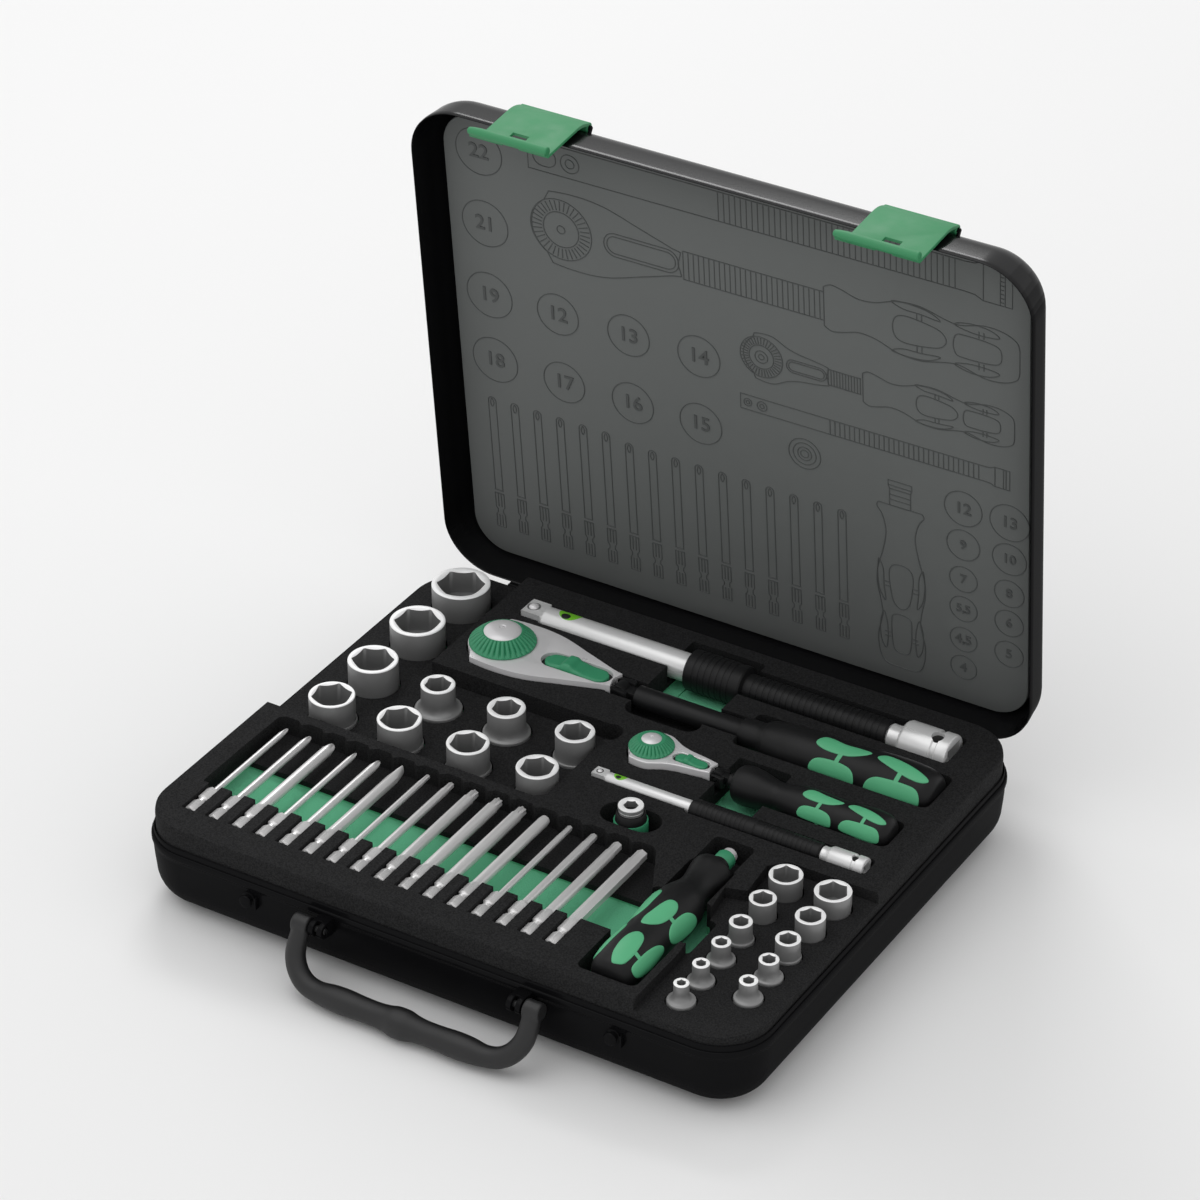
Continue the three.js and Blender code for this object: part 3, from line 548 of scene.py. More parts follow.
# ---- carry handle -----------------------------------------------------------------------------
def carry_handle():
    pivot = Vector((0, CARRY_Y, CARRY_Z))
    grip = Vector((0, -163.0, 8.0))
    drop = (grip - pivot).length
    tilt = math.atan2(pivot.y - grip.y, pivot.z - grip.z)
    half, bend = 64.0, 18.0
    side = [(half, 0, 2.5), (half, 0, -4), (half, 0, -drop + bend)]
    side += [(half - bend + bend * math.cos(a), 0, -drop + bend - bend * math.sin(a))
             for a in (0.35, 0.75, 1.15)]
    side += [(half - bend, 0, -drop)]
    middle = [(x, 0, -drop) for x in (38, 30, 22, 14, 8, 3.5, 0)]
    right = side + middle
    radii = [4.7, 4.7, 4.9, 5.1, 5.2, 5.3, 5.4, 6.3, 6.5, 6.1, 6.0, 6.5, 7.5, 7.7]
    path = right + [(-x, y, z) for x, y, z in reversed(right[:-1])]
    radii = radii + list(reversed(radii[:-1]))
    fine = smooth_line([p + (r,) for p, r in zip(path, radii)], 5)
    bar = sweep([p[:3] for p in fine], [p[3] for p in fine], 24, 0.94)
    for end in (-1, 1):
        x0, x1 = sorted((end * (half - 4.5), end * (half + 4.5)))
        hub = turn([(4.2, x0), (4.8, x0 + 0.5), (4.8, x1 - 0.5), (4.2, x1)], 28).along_x()
        a, b = sorted((end * (half - 13), end * half))
        pin = turn([(1.5, a), (1.8, a + 0.3), (1.8, b)], 20).along_x()
        bar.add(hub, pin)
    turned = Matrix.Translation(pivot) @ Matrix.Rotation(-tilt, 4, "X")
    handle = to_object("carry_grip", bar, HANDLE, turned)
    merge = handle.modifiers.new("merge", "REMESH")
    merge.mode = "VOXEL"
    merge.voxel_size = 0.6 * MM
    evaluated(handle)
    calm = handle.modifiers.new("calm", "SMOOTH")
    calm.iterations = 6
    evaluated(handle)
    handle.data.materials.clear()
    handle.data.materials.append(HANDLE)
    finish_piece(handle, "carry", "grip_black", ["carry_handle"], 180)


# ---- foam tray --------------------------------------------------------------------------------
ABOVE = FOAM_TOP + 5
BIT_COUNT, BIT_FIRST_X, BIT_PITCH, BIT_SHANK_Y, BIT_Z = 16, -148.2, 13.56, -119.8, 47.0
BIT_TIP_YS = [-37] * 6 + [-34.8] * 5 + [-35.5] * 3 + [-36] * 2

# size across flats, x, y, diameter at the top, diameter at the base
LARGE_SOCKETS = [
    (22, -139.5, 108.5, 30.5, 30), (21, -139.5, 67.5, 28.6, 28.2), (19, -139.5, 26.5, 25.7, 26),
    (18, -139.5, -10.5, 23.4, 24.8), (12, -99.4, 24.5, 17.5, 24.3), (17, -99.4, -10.5, 22.4, 23.6),
    (13, -59.3, 24.7, 19.3, 24.3), (16, -59.3, -10.7, 21.4, 23), (14, -19.5, 24.6, 19.9, 22.2),
    (15, -19.4, -10.7, 21.1, 22)]
SMALL_SOCKETS = [
    (12, 126.3, -24.3, 16.4, 16), (13, 151.5, -24.3, 18, 17.4), (9, 126.1, -46, 13.1, 13.4),
    (10, 151.7, -46.5, 14.5, 14.4), (7, 126.3, -67, 11.1, 13), (8, 151.4, -67.2, 12, 13),
    (5.5, 126.3, -85.2, 9.2, 13.8), (6, 151.5, -85.3, 9.6, 13.9), (4.5, 126.4, -103.9, 8.2, 13.4),
    (5, 151.3, -103.8, 8.8, 14), (4, 126.1, -121.2, 7.4, 13.9)]

LARGE = dict(
    name="large", y=76.5, z=47.4, head_x=-94, end_r=17.6, top=53, bottom=41.4,
    sides=[(-101.3, 20.2), (-92, 21.2), (-80, 21.2), (-70, 19.8), (-62, 17.5), (-53, 14.3),
           (-45, 11.6), (-38, 9.2), (-32, 7.2), (-27.2, 6.2)],
    notch_x=-29, ear=(-18, 6.9), pin_x=-24, tongue=3.4, nose_r=4.6, bore_r=8.2, ring_r=17.3,
    ring_top=59.6, cap_r=9.8, cap_top=62.2, drive=12.7, drive_end=27, slot=(-70, -29.6),
    slot_half=6.6, slot_deep=2.4, lever=36, lever_half=5.7, lever_top=56, lever_y=-0.4, ribs=34,
    shaft_r=6,
    handle=[(6, -14), (6, 44), (7.4, 46), (7.9, 50), (8, 56), (9.2, 59), (10.6, 62), (12, 72),
            (12.6, 82), (12.6, 90), (12, 102), (12.6, 113), (13.4, 124), (13.6, 134), (13.3, 142),
            (12.5, 148), (11, 152), (8.4, 154), (3, 154.4)])
SMALL = dict(
    name="small", y=34.6, z=50, head_x=18.2, end_r=11.4, top=53.8, bottom=45.6,
    sides=[(12.5, 12.6), (18, 13.4), (23, 13), (27, 11), (31, 8.9), (37, 7.2), (44, 6.2),
           (49, 5.4), (53.4, 4.4)],
    notch_x=52.2, ear=(61, 4.9), pin_x=56, tongue=2, nose_r=3.4, bore_r=5, ring_r=11.4,
    ring_top=58.4, cap_r=5.3, cap_top=60, drive=6.35, drive_end=37, slot=(31, 51),
    slot_half=3.7, slot_deep=1.6, lever=17.4, lever_half=3.1, lever_top=55.6, lever_y=-0.4,
    ribs=30, shaft_r=4,
    handle=[(4, 63.2), (4, 65.5), (7.4, 66.4), (9.5, 69), (10, 74), (9.3, 79.5), (8, 85),
            (7.2, 90), (8.4, 97), (9.3, 104), (9.5, 111), (9, 119), (9, 124), (9.5, 132),
            (9.9, 140), (9.6, 145.6), (8.4, 149.6), (5.6, 151.8), (2, 152.2)])
RATCHETS = (LARGE, SMALL)

LARGE_BAR = dict(
    name="large", y=112, z=47.1, square=12.7, tip=-102.2, ball_x=-97.4, bar=-90, bar_r=7.5,
    sleeve=-4, sleeve_r=10.8, step=28, thin_r=7.6, core_r=5.6, end=109, neck_r=6.4, body=118.5,
    body_r=10.9, far=144)
SMALL_BAR = dict(
    name="small", y=6, z=49, square=6.35, tip=2.3, ball_x=6.1, bar=10.5, bar_r=3.6,
    sleeve=58, sleeve_r=5.4, step=94, thin_r=5, core_r=2.4, end=129, neck_r=4.1,
    body=134.5, body_r=5.4, far=153)
BARS = (LARGE_BAR, SMALL_BAR)

ADAPTOR_X, ADAPTOR_Y = 37.5, -17.4
DRIVER_X, DRIVER_Z = 91.0, 47.0


def head_outline(r, grow=0.0):
    """Plan of a ratchet head: round end, square shoulders, a narrowing plate and a hollow tail."""
    first_x, first_half = r["sides"][0]
    start = max(math.atan2(first_half, first_x - r["head_x"]), math.radians(125))
    end = arc(r["head_x"], r["y"], r["end_r"] + grow, start, TAU - start, 30)
    side = smooth_line([(x, half + grow) for x, half in r["sides"]], 5)
    lower = [(x, r["y"] - half) for x, half in side]
    upper = [(x, r["y"] + half) for x, half in reversed(side)]
    return end + lower + [(r["notch_x"], r["y"])] + upper


def pocket(points, floor):
    return prism(points, floor, ABOVE)


def tool_pockets():
    cuts = []
    for r in RATCHETS:
        y = r["y"]
        grip = max(radius for radius, _ in r["handle"]) + 1.4
        shaft = r["shaft_r"] + 2.4
        grip_x = (47 if r is LARGE else 66)
        outline = head_outline(r, 1.0)
        cuts += [
            pocket(outline, r["drive_end"] - 1),
            pocket(rounded_box(r["ear"][0] - 11, y - shaft, grip_x + 4, y + shaft, 1),
                   r["z"] - shaft - 1),
            pocket(rounded_box(grip_x, y - grip, 155.5 if r is LARGE else 153.5, y + grip, 4),
                   r["z"] - grip)]
    for e in BARS:
        for x0, x1, half in ((e["tip"] - 0.7, e["bar"] + 1, e["square"] / 2 + 0.6),
                             (e["bar"] - 1, e["sleeve"] + 2, e["bar_r"] + 0.6),
                             (e["sleeve"] - 2, e["end"] + 2, e["sleeve_r"] + 1),
                             (e["end"], e["far"] + 2, e["body_r"] + 1)):
            cuts.append(pocket(rounded_box(x0, e["y"] - half, x1, e["y"] + half, 2),
                               e["z"] - half))
    cuts += [
        pocket(rounded_box(-13.5, 84, 29, 130, 2), 36),
        pocket(rounded_box(-14, 58, 28, 72, 6.9), 42),
        pocket(rounded_box(57.5, 11, 87, 53, 2), 36),
        pocket(rounded_box(21.5, -26, 53.5, -8.5, 8.7, 12), 24),
        pocket(rounded_box(80, -36, 102, -9, 3), 37.5),
        pocket(rounded_box(75, -130.5, 107, -58, 4), 33),
        pocket(rounded_box(79, -62, 103, -30, 3), 33),
        pocket(rounded_box(104, -90, 111.5, -62, 3), 36),
        pocket(rounded_box(-155.5, -98.5, 76, -61.5, 1), 36),
        pocket(rounded_box(-14, 32, -2, 46, 5.9), 41)]
    return cuts


def bit_shelf():
    """Black shelf under the bits' tips; its back wall steps round each tip."""
    edge = [(-155.5, -62.5), (76, -62.5)]
    for i in reversed(range(BIT_COUNT)):
        x = BIT_FIRST_X + BIT_PITCH * i
        edge += [(x + 6.6, -34.6), (x + 3.6, -32.2), (x - 3.6, -32.2), (x - 6.6, -34.6)]
    return pocket(edge, 40)


def foam_tray():
    inset = 2.4
    body = quarter_round(BASE_DRAFT + 1.4, BASE_ROUND - 1.4, 1.5, 1)
    body += [(inset, 33), (inset, FOAM_TOP - 2.6), (inset + 0.35, FOAM_TOP - 0.5),
             (inset + 0.9, FOAM_TOP)]
    foam = to_object("tool_tray", case_loft(body), FOAM)
    low_back = [(-175, -26.5), (-12, -26.5), (-7, -22), (-7, 45), (-117, 46), (-117, 150),
                (-175, 150)]
    carve(foam, pocket(low_back, SOCKET_LEVEL))
    low_front = [(111, -150), (111, -98), (108, -72), (104, -43), (114.5, -40), (112.5, -18),
                 (120, -10), (175, -10), (175, -150)]
    carve(foam, pocket(low_front, SMALL_LEVEL))
    for cut in tool_pockets():
        carve(foam, cut)
    carve(foam, bit_shelf())
    slots = Shape()
    for i in range(BIT_COUNT):
        x = BIT_FIRST_X + BIT_PITCH * i
        slots.add(box(x - 3.75, -121.5, 43, x + 3.75, -97, ABOVE))
    carve(foam, slots)
    wells = Shape()
    for rows, top, length in ((LARGE_SOCKETS, 55.5, 37), (SMALL_SOCKETS, 55, 23)):
        for _, x, y, top_d, base_d in rows:
            radius = max(top_d, base_d) / 2 + 0.7
            wells.add(turn([(radius, top - length - 0.3), (radius, ABOVE)], 40).shift(x, y))
    carve(foam, wells)
    finish_piece(foam, "case", "tray_foam", ["foam_tray"], 30)


# ---- sockets ----------------------------------------------------------------------------------
def hexagon(across, z, turned, steps=72):
    corner = across / math.sqrt(3)
    return circle(corner, z, steps, polygon_wave(6, turned))


def whiten_rim(obj, top):
    """Painted highlight: bright near-white steel colour on the faces that look up near the top,
    standing for light from above.
    """
    obj.data.materials.append(RIM_PAINTED_HIGHLIGHT)
    for face in obj.data.polygons:
        if face.normal.z > 0.3 and face.center.z > (top - 3) * MM:
            face.material_index = 1


def socket(name, row, kind, node):
    size, x, y, top_d, base_d = row
    top, length, bore, foam = (55.5, 37, 13, 40.5) if kind == "half" else (55, 23, 9, 44.5)
    turned = math.radians(28 if size >= 19 else (42 if kind == "half" else 58))
    steps, bottom = 72, top - length
    rt, rb = top_d / 2, base_d / 2
    outer = [(rb - 0.7, bottom), (rb, bottom + 0.8), (rb, foam + 0.3)]
    rise = 4.6 if kind == "half" else 4.3
    if rb > rt + 0.4:
        outer += [(rb - 0.12, foam + 0.75), (rb - 0.4, foam + 1.05)]
        for i in range(1, 9):
            t = TAU / 4 * i / 8
            outer.append((rt + (rb - 0.4 - rt) * (1 - math.sin(t)),
                          foam + 1.05 + rise * (1 - math.cos(t))))
    else:
        outer.append((rt, foam + 4))
    lip = 0.5 if kind == "half" else 0.35
    outer += [(rt, top - lip), (rt - lip * 0.3, top - lip * 0.35), (rt - lip, top)]
    rings = [circle(r, z, steps) for r, z in outer]
    mouth = size / math.sqrt(3) * 0.985
    mouth = min(mouth, rt - lip - 0.35)
    rings.append(circle(mouth, top, steps))
    flat = hexagon(size, 0, turned)
    rings.append([(a, b, top - 0.08 - max(0.0, (mouth - math.hypot(a, b)) * 0.55))
                  for a, b, _ in flat])
    rings.append([(a, b, top - bore) for a, b, _ in flat])
    drive = (12.9 if kind == "half" else 6.5) / 2 * 1.3
    rings.append(circle(min(drive, size * 0.42), top - bore - 0.05, steps))
    rings.append(circle(min(drive, size * 0.42), bottom, steps))
    obj = to_object(name, closed_tube(rings).shift(x, y), SOCKET)
    whiten_rim(obj, top)
    finish_piece(obj, "case", "satin_steel", [node], 42)


def all_sockets():
    for row in LARGE_SOCKETS:
        socket(f"drive_half_{row[0]}", row, "half", f"socket_half_{row[0]}")
    for row in SMALL_SOCKETS:
        size = str(row[0]).replace(".", "_")
        socket(f"drive_quarter_{size}", row, "quarter", f"socket_quarter_{size}")


# ---- bits -------------------------------------------------------------------------------------
BIT_RADII = [1.5, 2, 2.8, 1.5, 2.1, 2.9, 1.5, 2, 2.8, 3.0, 3.0, 2.8, 1.6, 2.1, 2.7, 3.3]
BIT_KINDS = ["cross"] * 5 + ["wedge"] + ["star"] * 5 + ["plain"] + ["hex"] * 4


def star_wave(points, deep):
    return lambda angle: 1 - deep * (0.5 - 0.5 * math.cos(points * angle))


def bit(index):
    x = BIT_FIRST_X + BIT_PITCH * index
    y0, tip = BIT_SHANK_Y, BIT_TIP_YS[index]
    shaft, kind = BIT_RADII[index], BIT_KINDS[index]
    steps = 36
    hexed = polygon_wave(6, 0)
    hex_r = 3.6
    rings = [circle(r, y, steps, hexed) for r, y in (
        (hex_r - 0.8, y0), (hex_r, y0 + 0.7), (hex_r, y0 + 7.6))]
    rings += [circle(r, y, steps) for r, y in (
        (hex_r * 0.8, y0 + 8.3), (2.5, y0 + 8.7), (2.5, y0 + 10.4), (hex_r * 0.8, y0 + 10.9))]
    rings += [circle(hex_r, y, steps, hexed) for y in (y0 + 11.3, y0 + 19.2)]
    wave = hexed if index == BIT_COUNT - 1 else None
    rings += [circle(r, y, steps, wave) for r, y in (
        (shaft + 0.1, y0 + 20.6), (shaft, y0 + 21.4))]
    if kind == "cross":
        cross = star_wave(4, 0.42)
        rings += [circle(shaft, tip - 6, steps), circle(shaft, tip - 4.6, steps, star_wave(4, 0.2)),
                  circle(shaft * 0.92, tip - 3, steps, cross),
                  circle(shaft * 0.62, tip - 1.1, steps, cross),
                  circle(shaft * 0.28, tip, steps, cross)]
    elif kind == "star":
        lobes = star_wave(6, 0.32)
        small = shaft * 0.82
        rings += [circle(shaft, tip - 6.6, steps), circle(small + 0.1, tip - 5.2, steps, lobes),
                  circle(small, tip - 0.5, steps, lobes), circle(small * 0.82, tip, steps, lobes)]
    elif kind == "hex":
        small = shaft * 0.92
        rings += [circle(shaft, tip - 8, steps, wave), circle(small, tip - 7, steps, hexed),
                  circle(small, tip - 0.5, steps, hexed), circle(small * 0.85, tip, steps, hexed)]
    elif kind == "wedge":
        rings += [circle(shaft, tip - 9, steps, hexed)]
        for y, wide, thin in ((tip - 4, 1.05, 0.62), (tip - 0.4, 0.98, 0.3), (tip, 0.94, 0.26)):
            rings.append([(a * wide, b * thin, y) for a, b, _ in circle(shaft, y, steps)])
    else:
        rings += [circle(shaft, tip - 3.2, steps), circle(shaft * 0.88, tip - 0.8, steps),
                  circle(shaft * 0.6, tip, steps)]
    number = f"{index + 1:02d}"
    shape = loft(rings).along_y().shift(x, 0, BIT_Z)
    piece(f"long_bit_{number}", shape, BIT_STEEL, "case", "satin_steel", [f"bit_{number}"],
          crease=32)


def bit_marks():
    """Short dark dashes on each shank's upper flat, standing for its unreadable size stamp."""
    marks = Shape()
    for i in range(BIT_COUNT):
        x = BIT_FIRST_X + BIT_PITCH * i
        for k in range(5):
            y = BIT_SHANK_Y + 12.4 + 1.25 * k
            z = BIT_Z + 3.6 * math.cos(TAU / 12)
            marks.add(box(x - 0.8, y, z - 0.2, x + 0.8, y + 0.55, z + 0.03))
    piece("shank_stamps", marks, STAMP, "case", "satin_steel")


# ---- adaptor ----------------------------------------------------------------------------------
def adaptor():
    top = 58.0
    body = [(5, 27), (5.4, 27.6), (5.4, 53.8), (6.1, 54), (6.1, 55.2), (5.9, 55.4), (6.3, 55.7),
            (6.3, 57.5), (6.1, 57.9), (5.6, top)]
    rings = [circle(r, z, 72) for r, z in body]
    mouth = 4.0
    rings.append(circle(mouth, top, 72))
    flat = hexagon(6.5, 0, math.radians(28))
    rings.append([(a, b, top - 0.1 - max(0.0, (mouth - math.hypot(a, b)) * 0.6))
                  for a, b, _ in flat])
    rings.append([(a, b, top - 10) for a, b, _ in flat])
    sleeve = turn([(8, 40.4), (8.5, 41), (8.5, 49.1), (8.3, 49.5), (5.5, 49.55)], 64)
    band = turn([(7.8, 49.5), (7.7, 50.4), (7.1, 53.5), (6.7, 53.9), (5.4, 53.9)], 64)
    collar = to_object("adaptor_body", loft(rings).shift(ADAPTOR_X, ADAPTOR_Y), SOCKET)
    whiten_rim(collar, top)
    finish_piece(collar, "adaptor", "satin_steel", ["bit_adaptor"])
    piece("adaptor_sleeve", sleeve.shift(ADAPTOR_X, ADAPTOR_Y), RING_GREEN, "adaptor",
          "grip_green")
    piece("adaptor_band", band.shift(ADAPTOR_X, ADAPTOR_Y), GRIP, "adaptor", "grip_black")


# ---- ratchets ---------------------------------------------------------------------------------
def ratchet_head(r):
    """Silver plate with its recess for the slide switch, and the black fork behind the tail."""
    name, y, gap = r["name"], r["y"], 0.3
    head = to_object(f"{name}_head_body", prism(head_outline(r), r["bottom"], r["top"]), POLISHED)
    tail_x, tail_half = r["sides"][-1]
    carve(head, box(r["pin_x"] - r["nose_r"] - 1, y - r["tongue"] - gap, r["bottom"] - 1,
                    tail_x + 1, y + r["tongue"] + gap, r["top"] - 1.4))
    middle_y = y + r["lever_y"]
    slot = rounded_box(r["slot"][0], middle_y - r["slot_half"], r["slot"][1],
                       middle_y + r["slot_half"], r["slot_half"] - 0.05, 12)
    carve(head, prism(slot, r["top"] - r["slot_deep"], r["top"] + 1))
    bore = turn([(r["bore_r"] + gap, r["bottom"] - 1), (r["bore_r"] + gap, r["top"] + 1)], 40)
    carve(head, bore.shift(r["head_x"], y))
    soften(head, 1.2 if r is LARGE else 0.8, 3, 50)
    finish_piece(head, f"{name}_head", "polished_steel", [f"{name}_ratchet_head"], 45)
    ear_x, ear_half = r["ear"]
    halves = [(tail_x - 1.4, tail_half - 0.7), (tail_x + 1, tail_half - 0.4),
              (ear_x - 1.5, ear_half), (ear_x, ear_half - 1.2)]
    plan = [(x, y - h) for x, h in halves] + [(x, y + h) for x, h in reversed(halves)]
    fork = to_object(f"{name}_fork", prism(plan, r["bottom"] + 0.8, r["top"] - 1.5), GRIP)
    carve(fork, box(r["pin_x"] - r["nose_r"] - 1, y - r["tongue"] - gap, r["bottom"] - 1, ear_x + 1,
                    y + r["tongue"] + gap, r["top"] + 1))
    eye = turn([(r["tongue"] * 0.6 + gap, y - 20), (r["tongue"] * 0.6 + gap, y + 20)], 24)
    carve(fork, eye.along_y().shift(r["pin_x"], 0, r["z"]))
    soften(fork, 0.5, 2, 50)
    finish_piece(fork, f"{name}_head", "grip_black")
    # Near-black sheet on the switch slot's floor: painted shade in the slot.
    floor = prism(rounded_box(r["slot"][0] + 0.2, middle_y - r["slot_half"] + 0.2,
                              r["slot"][1] - 0.2, middle_y + r["slot_half"] - 0.2,
                              r["slot_half"] - 0.3, 12),
                  r["top"] - r["slot_deep"] - 0.3, r["top"] - r["slot_deep"] + 0.12)
    piece(f"{name}_lever_slot_painted_shade", floor, SHADE_AND_BLACK_PRINT, f"{name}_head", "polished_steel")


def thumb_ring(r):
    """Ribbed cone with a domed cap, and the spindle and square drive below it."""
    name, x, y = r["name"], r["head_x"], r["y"]
    base = r["top"] + 0.15
    steps = r["ribs"] * 8
    drop = r["ring_top"] - base
    def ribs(deep):
        return lambda angle: 1 - deep * (0.5 + 0.5 * math.cos(r["ribs"] * angle)) ** 4
    rings = [circle(r["ring_r"] - 1, base, steps), circle(r["ring_r"], base + 0.2, steps)]
    for share, radius, deep in ((0.1, 1.0, 0.01), (0.15, 0.99, 0.08), (0.32, 0.93, 0.11),
                                (0.55, 0.84, 0.12), (0.8, 0.72, 0.12), (0.95, 0.63, 0.08),
                                (1.0, 0.6, 0.0)):
        rings.append(circle(r["ring_r"] * radius, base + 0.2 + drop * share, steps, ribs(deep)))
    piece(f"{name}_thumb_cone", loft(rings).shift(x, y), RING_GREEN, f"{name}_thumb",
          "grip_green", crease=50)
    cap_r, low, high = r["cap_r"], r["ring_top"] - 0.6, r["cap_top"]
    rise = high - low
    dome = [(cap_r, low), (cap_r, low + rise * 0.22), (cap_r * 0.93, low + rise * 0.42),
            (cap_r * 0.72, low + rise * 0.72), (cap_r * 0.45, low + rise * 0.92),
            (cap_r * 0.22, high), (cap_r * 0.17, high), (cap_r * 0.14, high - 0.3),
            (cap_r * 0.12, high - 0.35), (cap_r * 0.07, high - 0.1), (0.02, high - 0.05)]
    piece(f"{name}_thumb_cap", turn(dome, 64).shift(x, y), POLISHED, f"{name}_thumb",
          "polished_steel", crease=60)
    spindle = turn([(r["bore_r"], r["bottom"] - 1.2), (r["bore_r"], base + 0.2)], 40).shift(x, y)
    half = r["drive"] / 2
    drive = box(x - half, y - half, r["drive_end"], x + half, y + half, r["bottom"] - 1)
    detent = turn([(half * 0.35, 0), (half * 0.3, 0.5), (half * 0.1, 0.9)], 20).along_x()
    drive.add(detent.shift(x + half - 0.1, y, r["drive_end"] + half * 0.9))
    piece(f"{name}_drive", spindle.add(drive), POLISHED, f"{name}_thumb", "polished_steel",
          [f"{name}_ratchet_thumb_ring"], bevel=0.25)


def slide_switch(r):
    name, y = r["name"], r["y"] + r["lever_y"]
    middle = (r["slot"][0] + r["slot"][1]) / 2
    x0, x1, half = middle - r["lever"] / 2, middle + r["lever"] / 2, r["lever_half"]
    floor = r["top"] - r["slot_deep"] + 0.25
    span = x1 - x0
    outline = rounded_box(x0, y - half, x1, y + half, half - 0.05, 12)
    low = r["top"] - 0.2
    crown = r["lever_top"]
    def height(x):
        u = (x - x0) / span
        stops = [(0, low), (0.1, low + 0.5), (0.27, low + 0.35 * (crown - low)), (0.36, crown),
                 (0.44, crown), (0.52, low + 0.45 * (crown - low)), (0.7, low + 0.3),
                 (0.92, low + 0.25), (1, low)]
        for (a, za), (b, zb) in zip(stops, stops[1:]):
            if u <= b:
                return za + (zb - za) * (0.5 - 0.5 * math.cos(math.pi * (u - a) / (b - a)))
        return low
    across = 14
    along = 60
    verts, faces = [], []
    def half_at(x):
        left, right = x0 + half, x1 - half
        if x < left:
            return math.sqrt(max(half ** 2 - (left - x) ** 2, 0.01))
        if x > right:
            return math.sqrt(max(half ** 2 - (x - right) ** 2, 0.01))
        return half
    for i in range(along + 1):
        t = 0.5 - 0.5 * math.cos(math.pi * i / along)
        x = x0 + span * t
        h = half_at(x)
        ring = []
        for k in range(across + 1):
            s = -1 + 2 * k / across
            edge = 1 - max(0.0, abs(s) - 0.8) / 0.2 * 0.35
            ring.append((x, y + h * s, floor + (height(x) - floor) * edge))
        ring += [(x, y + h, floor), (x, y - h, floor)]
        verts.append(ring)
    shape = loft(verts)
    piece(f"{name}_lever", shape, RING_GREEN, f"{name}_switch", "grip_green",
          [f"{name}_ratchet_switch"], crease=60)


def radius_at(profile, place):
    for (ra, a), (rb, b) in zip(profile, profile[1:]):
        if a <= place <= b or b <= place <= a:
            return ra + (rb - ra) * ((place - a) / (b - a) if b != a else 0)
    return profile[-1][0]


def turned_outline(points, turned, scale=1.0, start=0.0):
    """Smooth closed outline of (place, degrees) round a grip, turned about it."""
    return smooth_line([(u * scale + start, a + turned) for u, a in points], 5, closed=True)


def pad(outline, profile, lift, about):
    """Soft pad lying on a turned grip; about maps (place, angle, radius) to a point."""
    cx = sum(p[0] for p in outline) / len(outline)
    cy = sum(p[1] for p in outline) / len(outline)
    levels = ((1.0, -0.5), (1.0, 0.05), (0.97, 0.75), (0.93, 1.0), (0.75, 1.0), (0.5, 1.0),
              (0.25, 1.0), (0.02, 1.0))
    rings = []
    for scale, up in levels:
        ring = []
        for u, angle in outline:
            place = cx + (u - cx) * scale
            turned = cy + (angle - cy) * scale
            ring.append(about(place, math.radians(turned), radius_at(profile, place) + lift * up))
        rings.append(ring)
    return loft(rings)


def strap(u, a0, a1, width, profile, lift, about, lean=0.0):
    """Thin bridge between two pads, running round the grip."""
    rings = []
    for i in range(9):
        t = i / 8
        angle = math.radians(a0 + (a1 - a0) * t)
        ring = []
        for s, up in ((-1, -0.6), (-1, 0.4), (-0.7, 0.8), (0.7, 0.8), (1, 0.4), (1, -0.6)):
            place = u + lean * t + s * width / 2
            ring.append(about(place, angle, radius_at(profile, place) + lift * up))
        rings.append(ring)
    return loft(rings)


# outlines of one pair of front and rear pads on the long grip, as (place, degrees from its top)
FRONT_UPPER = [(89, 10), (89.6, 22), (94, 29), (101, 30), (108, 26), (113.5, 16), (117, 5),
               (117, -3), (110, -6), (103, -6), (96, -10), (91.5, -6)]
FRONT_LOWER = [(89.2, 82), (90, 64), (93, 52), (99, 47.5), (106, 48), (111, 54), (113.6, 68),
               (113.8, 92), (109, 97), (99, 92), (92, 90)]
REAR_UPPER = [(121.5, 4), (123, 12), (128, 20), (135, 28), (142, 33.5), (147.5, 33), (150.5, 25),
              (150, 16), (145.5, 8), (138, 0), (130, -6), (124.5, -6)]
REAR_LOWER = [(120, 84), (121.2, 64), (125, 51.5), (131, 48), (140, 46.5), (146.6, 50),
              (149.4, 68), (149, 90), (144, 95), (132, 93), (123, 91)]


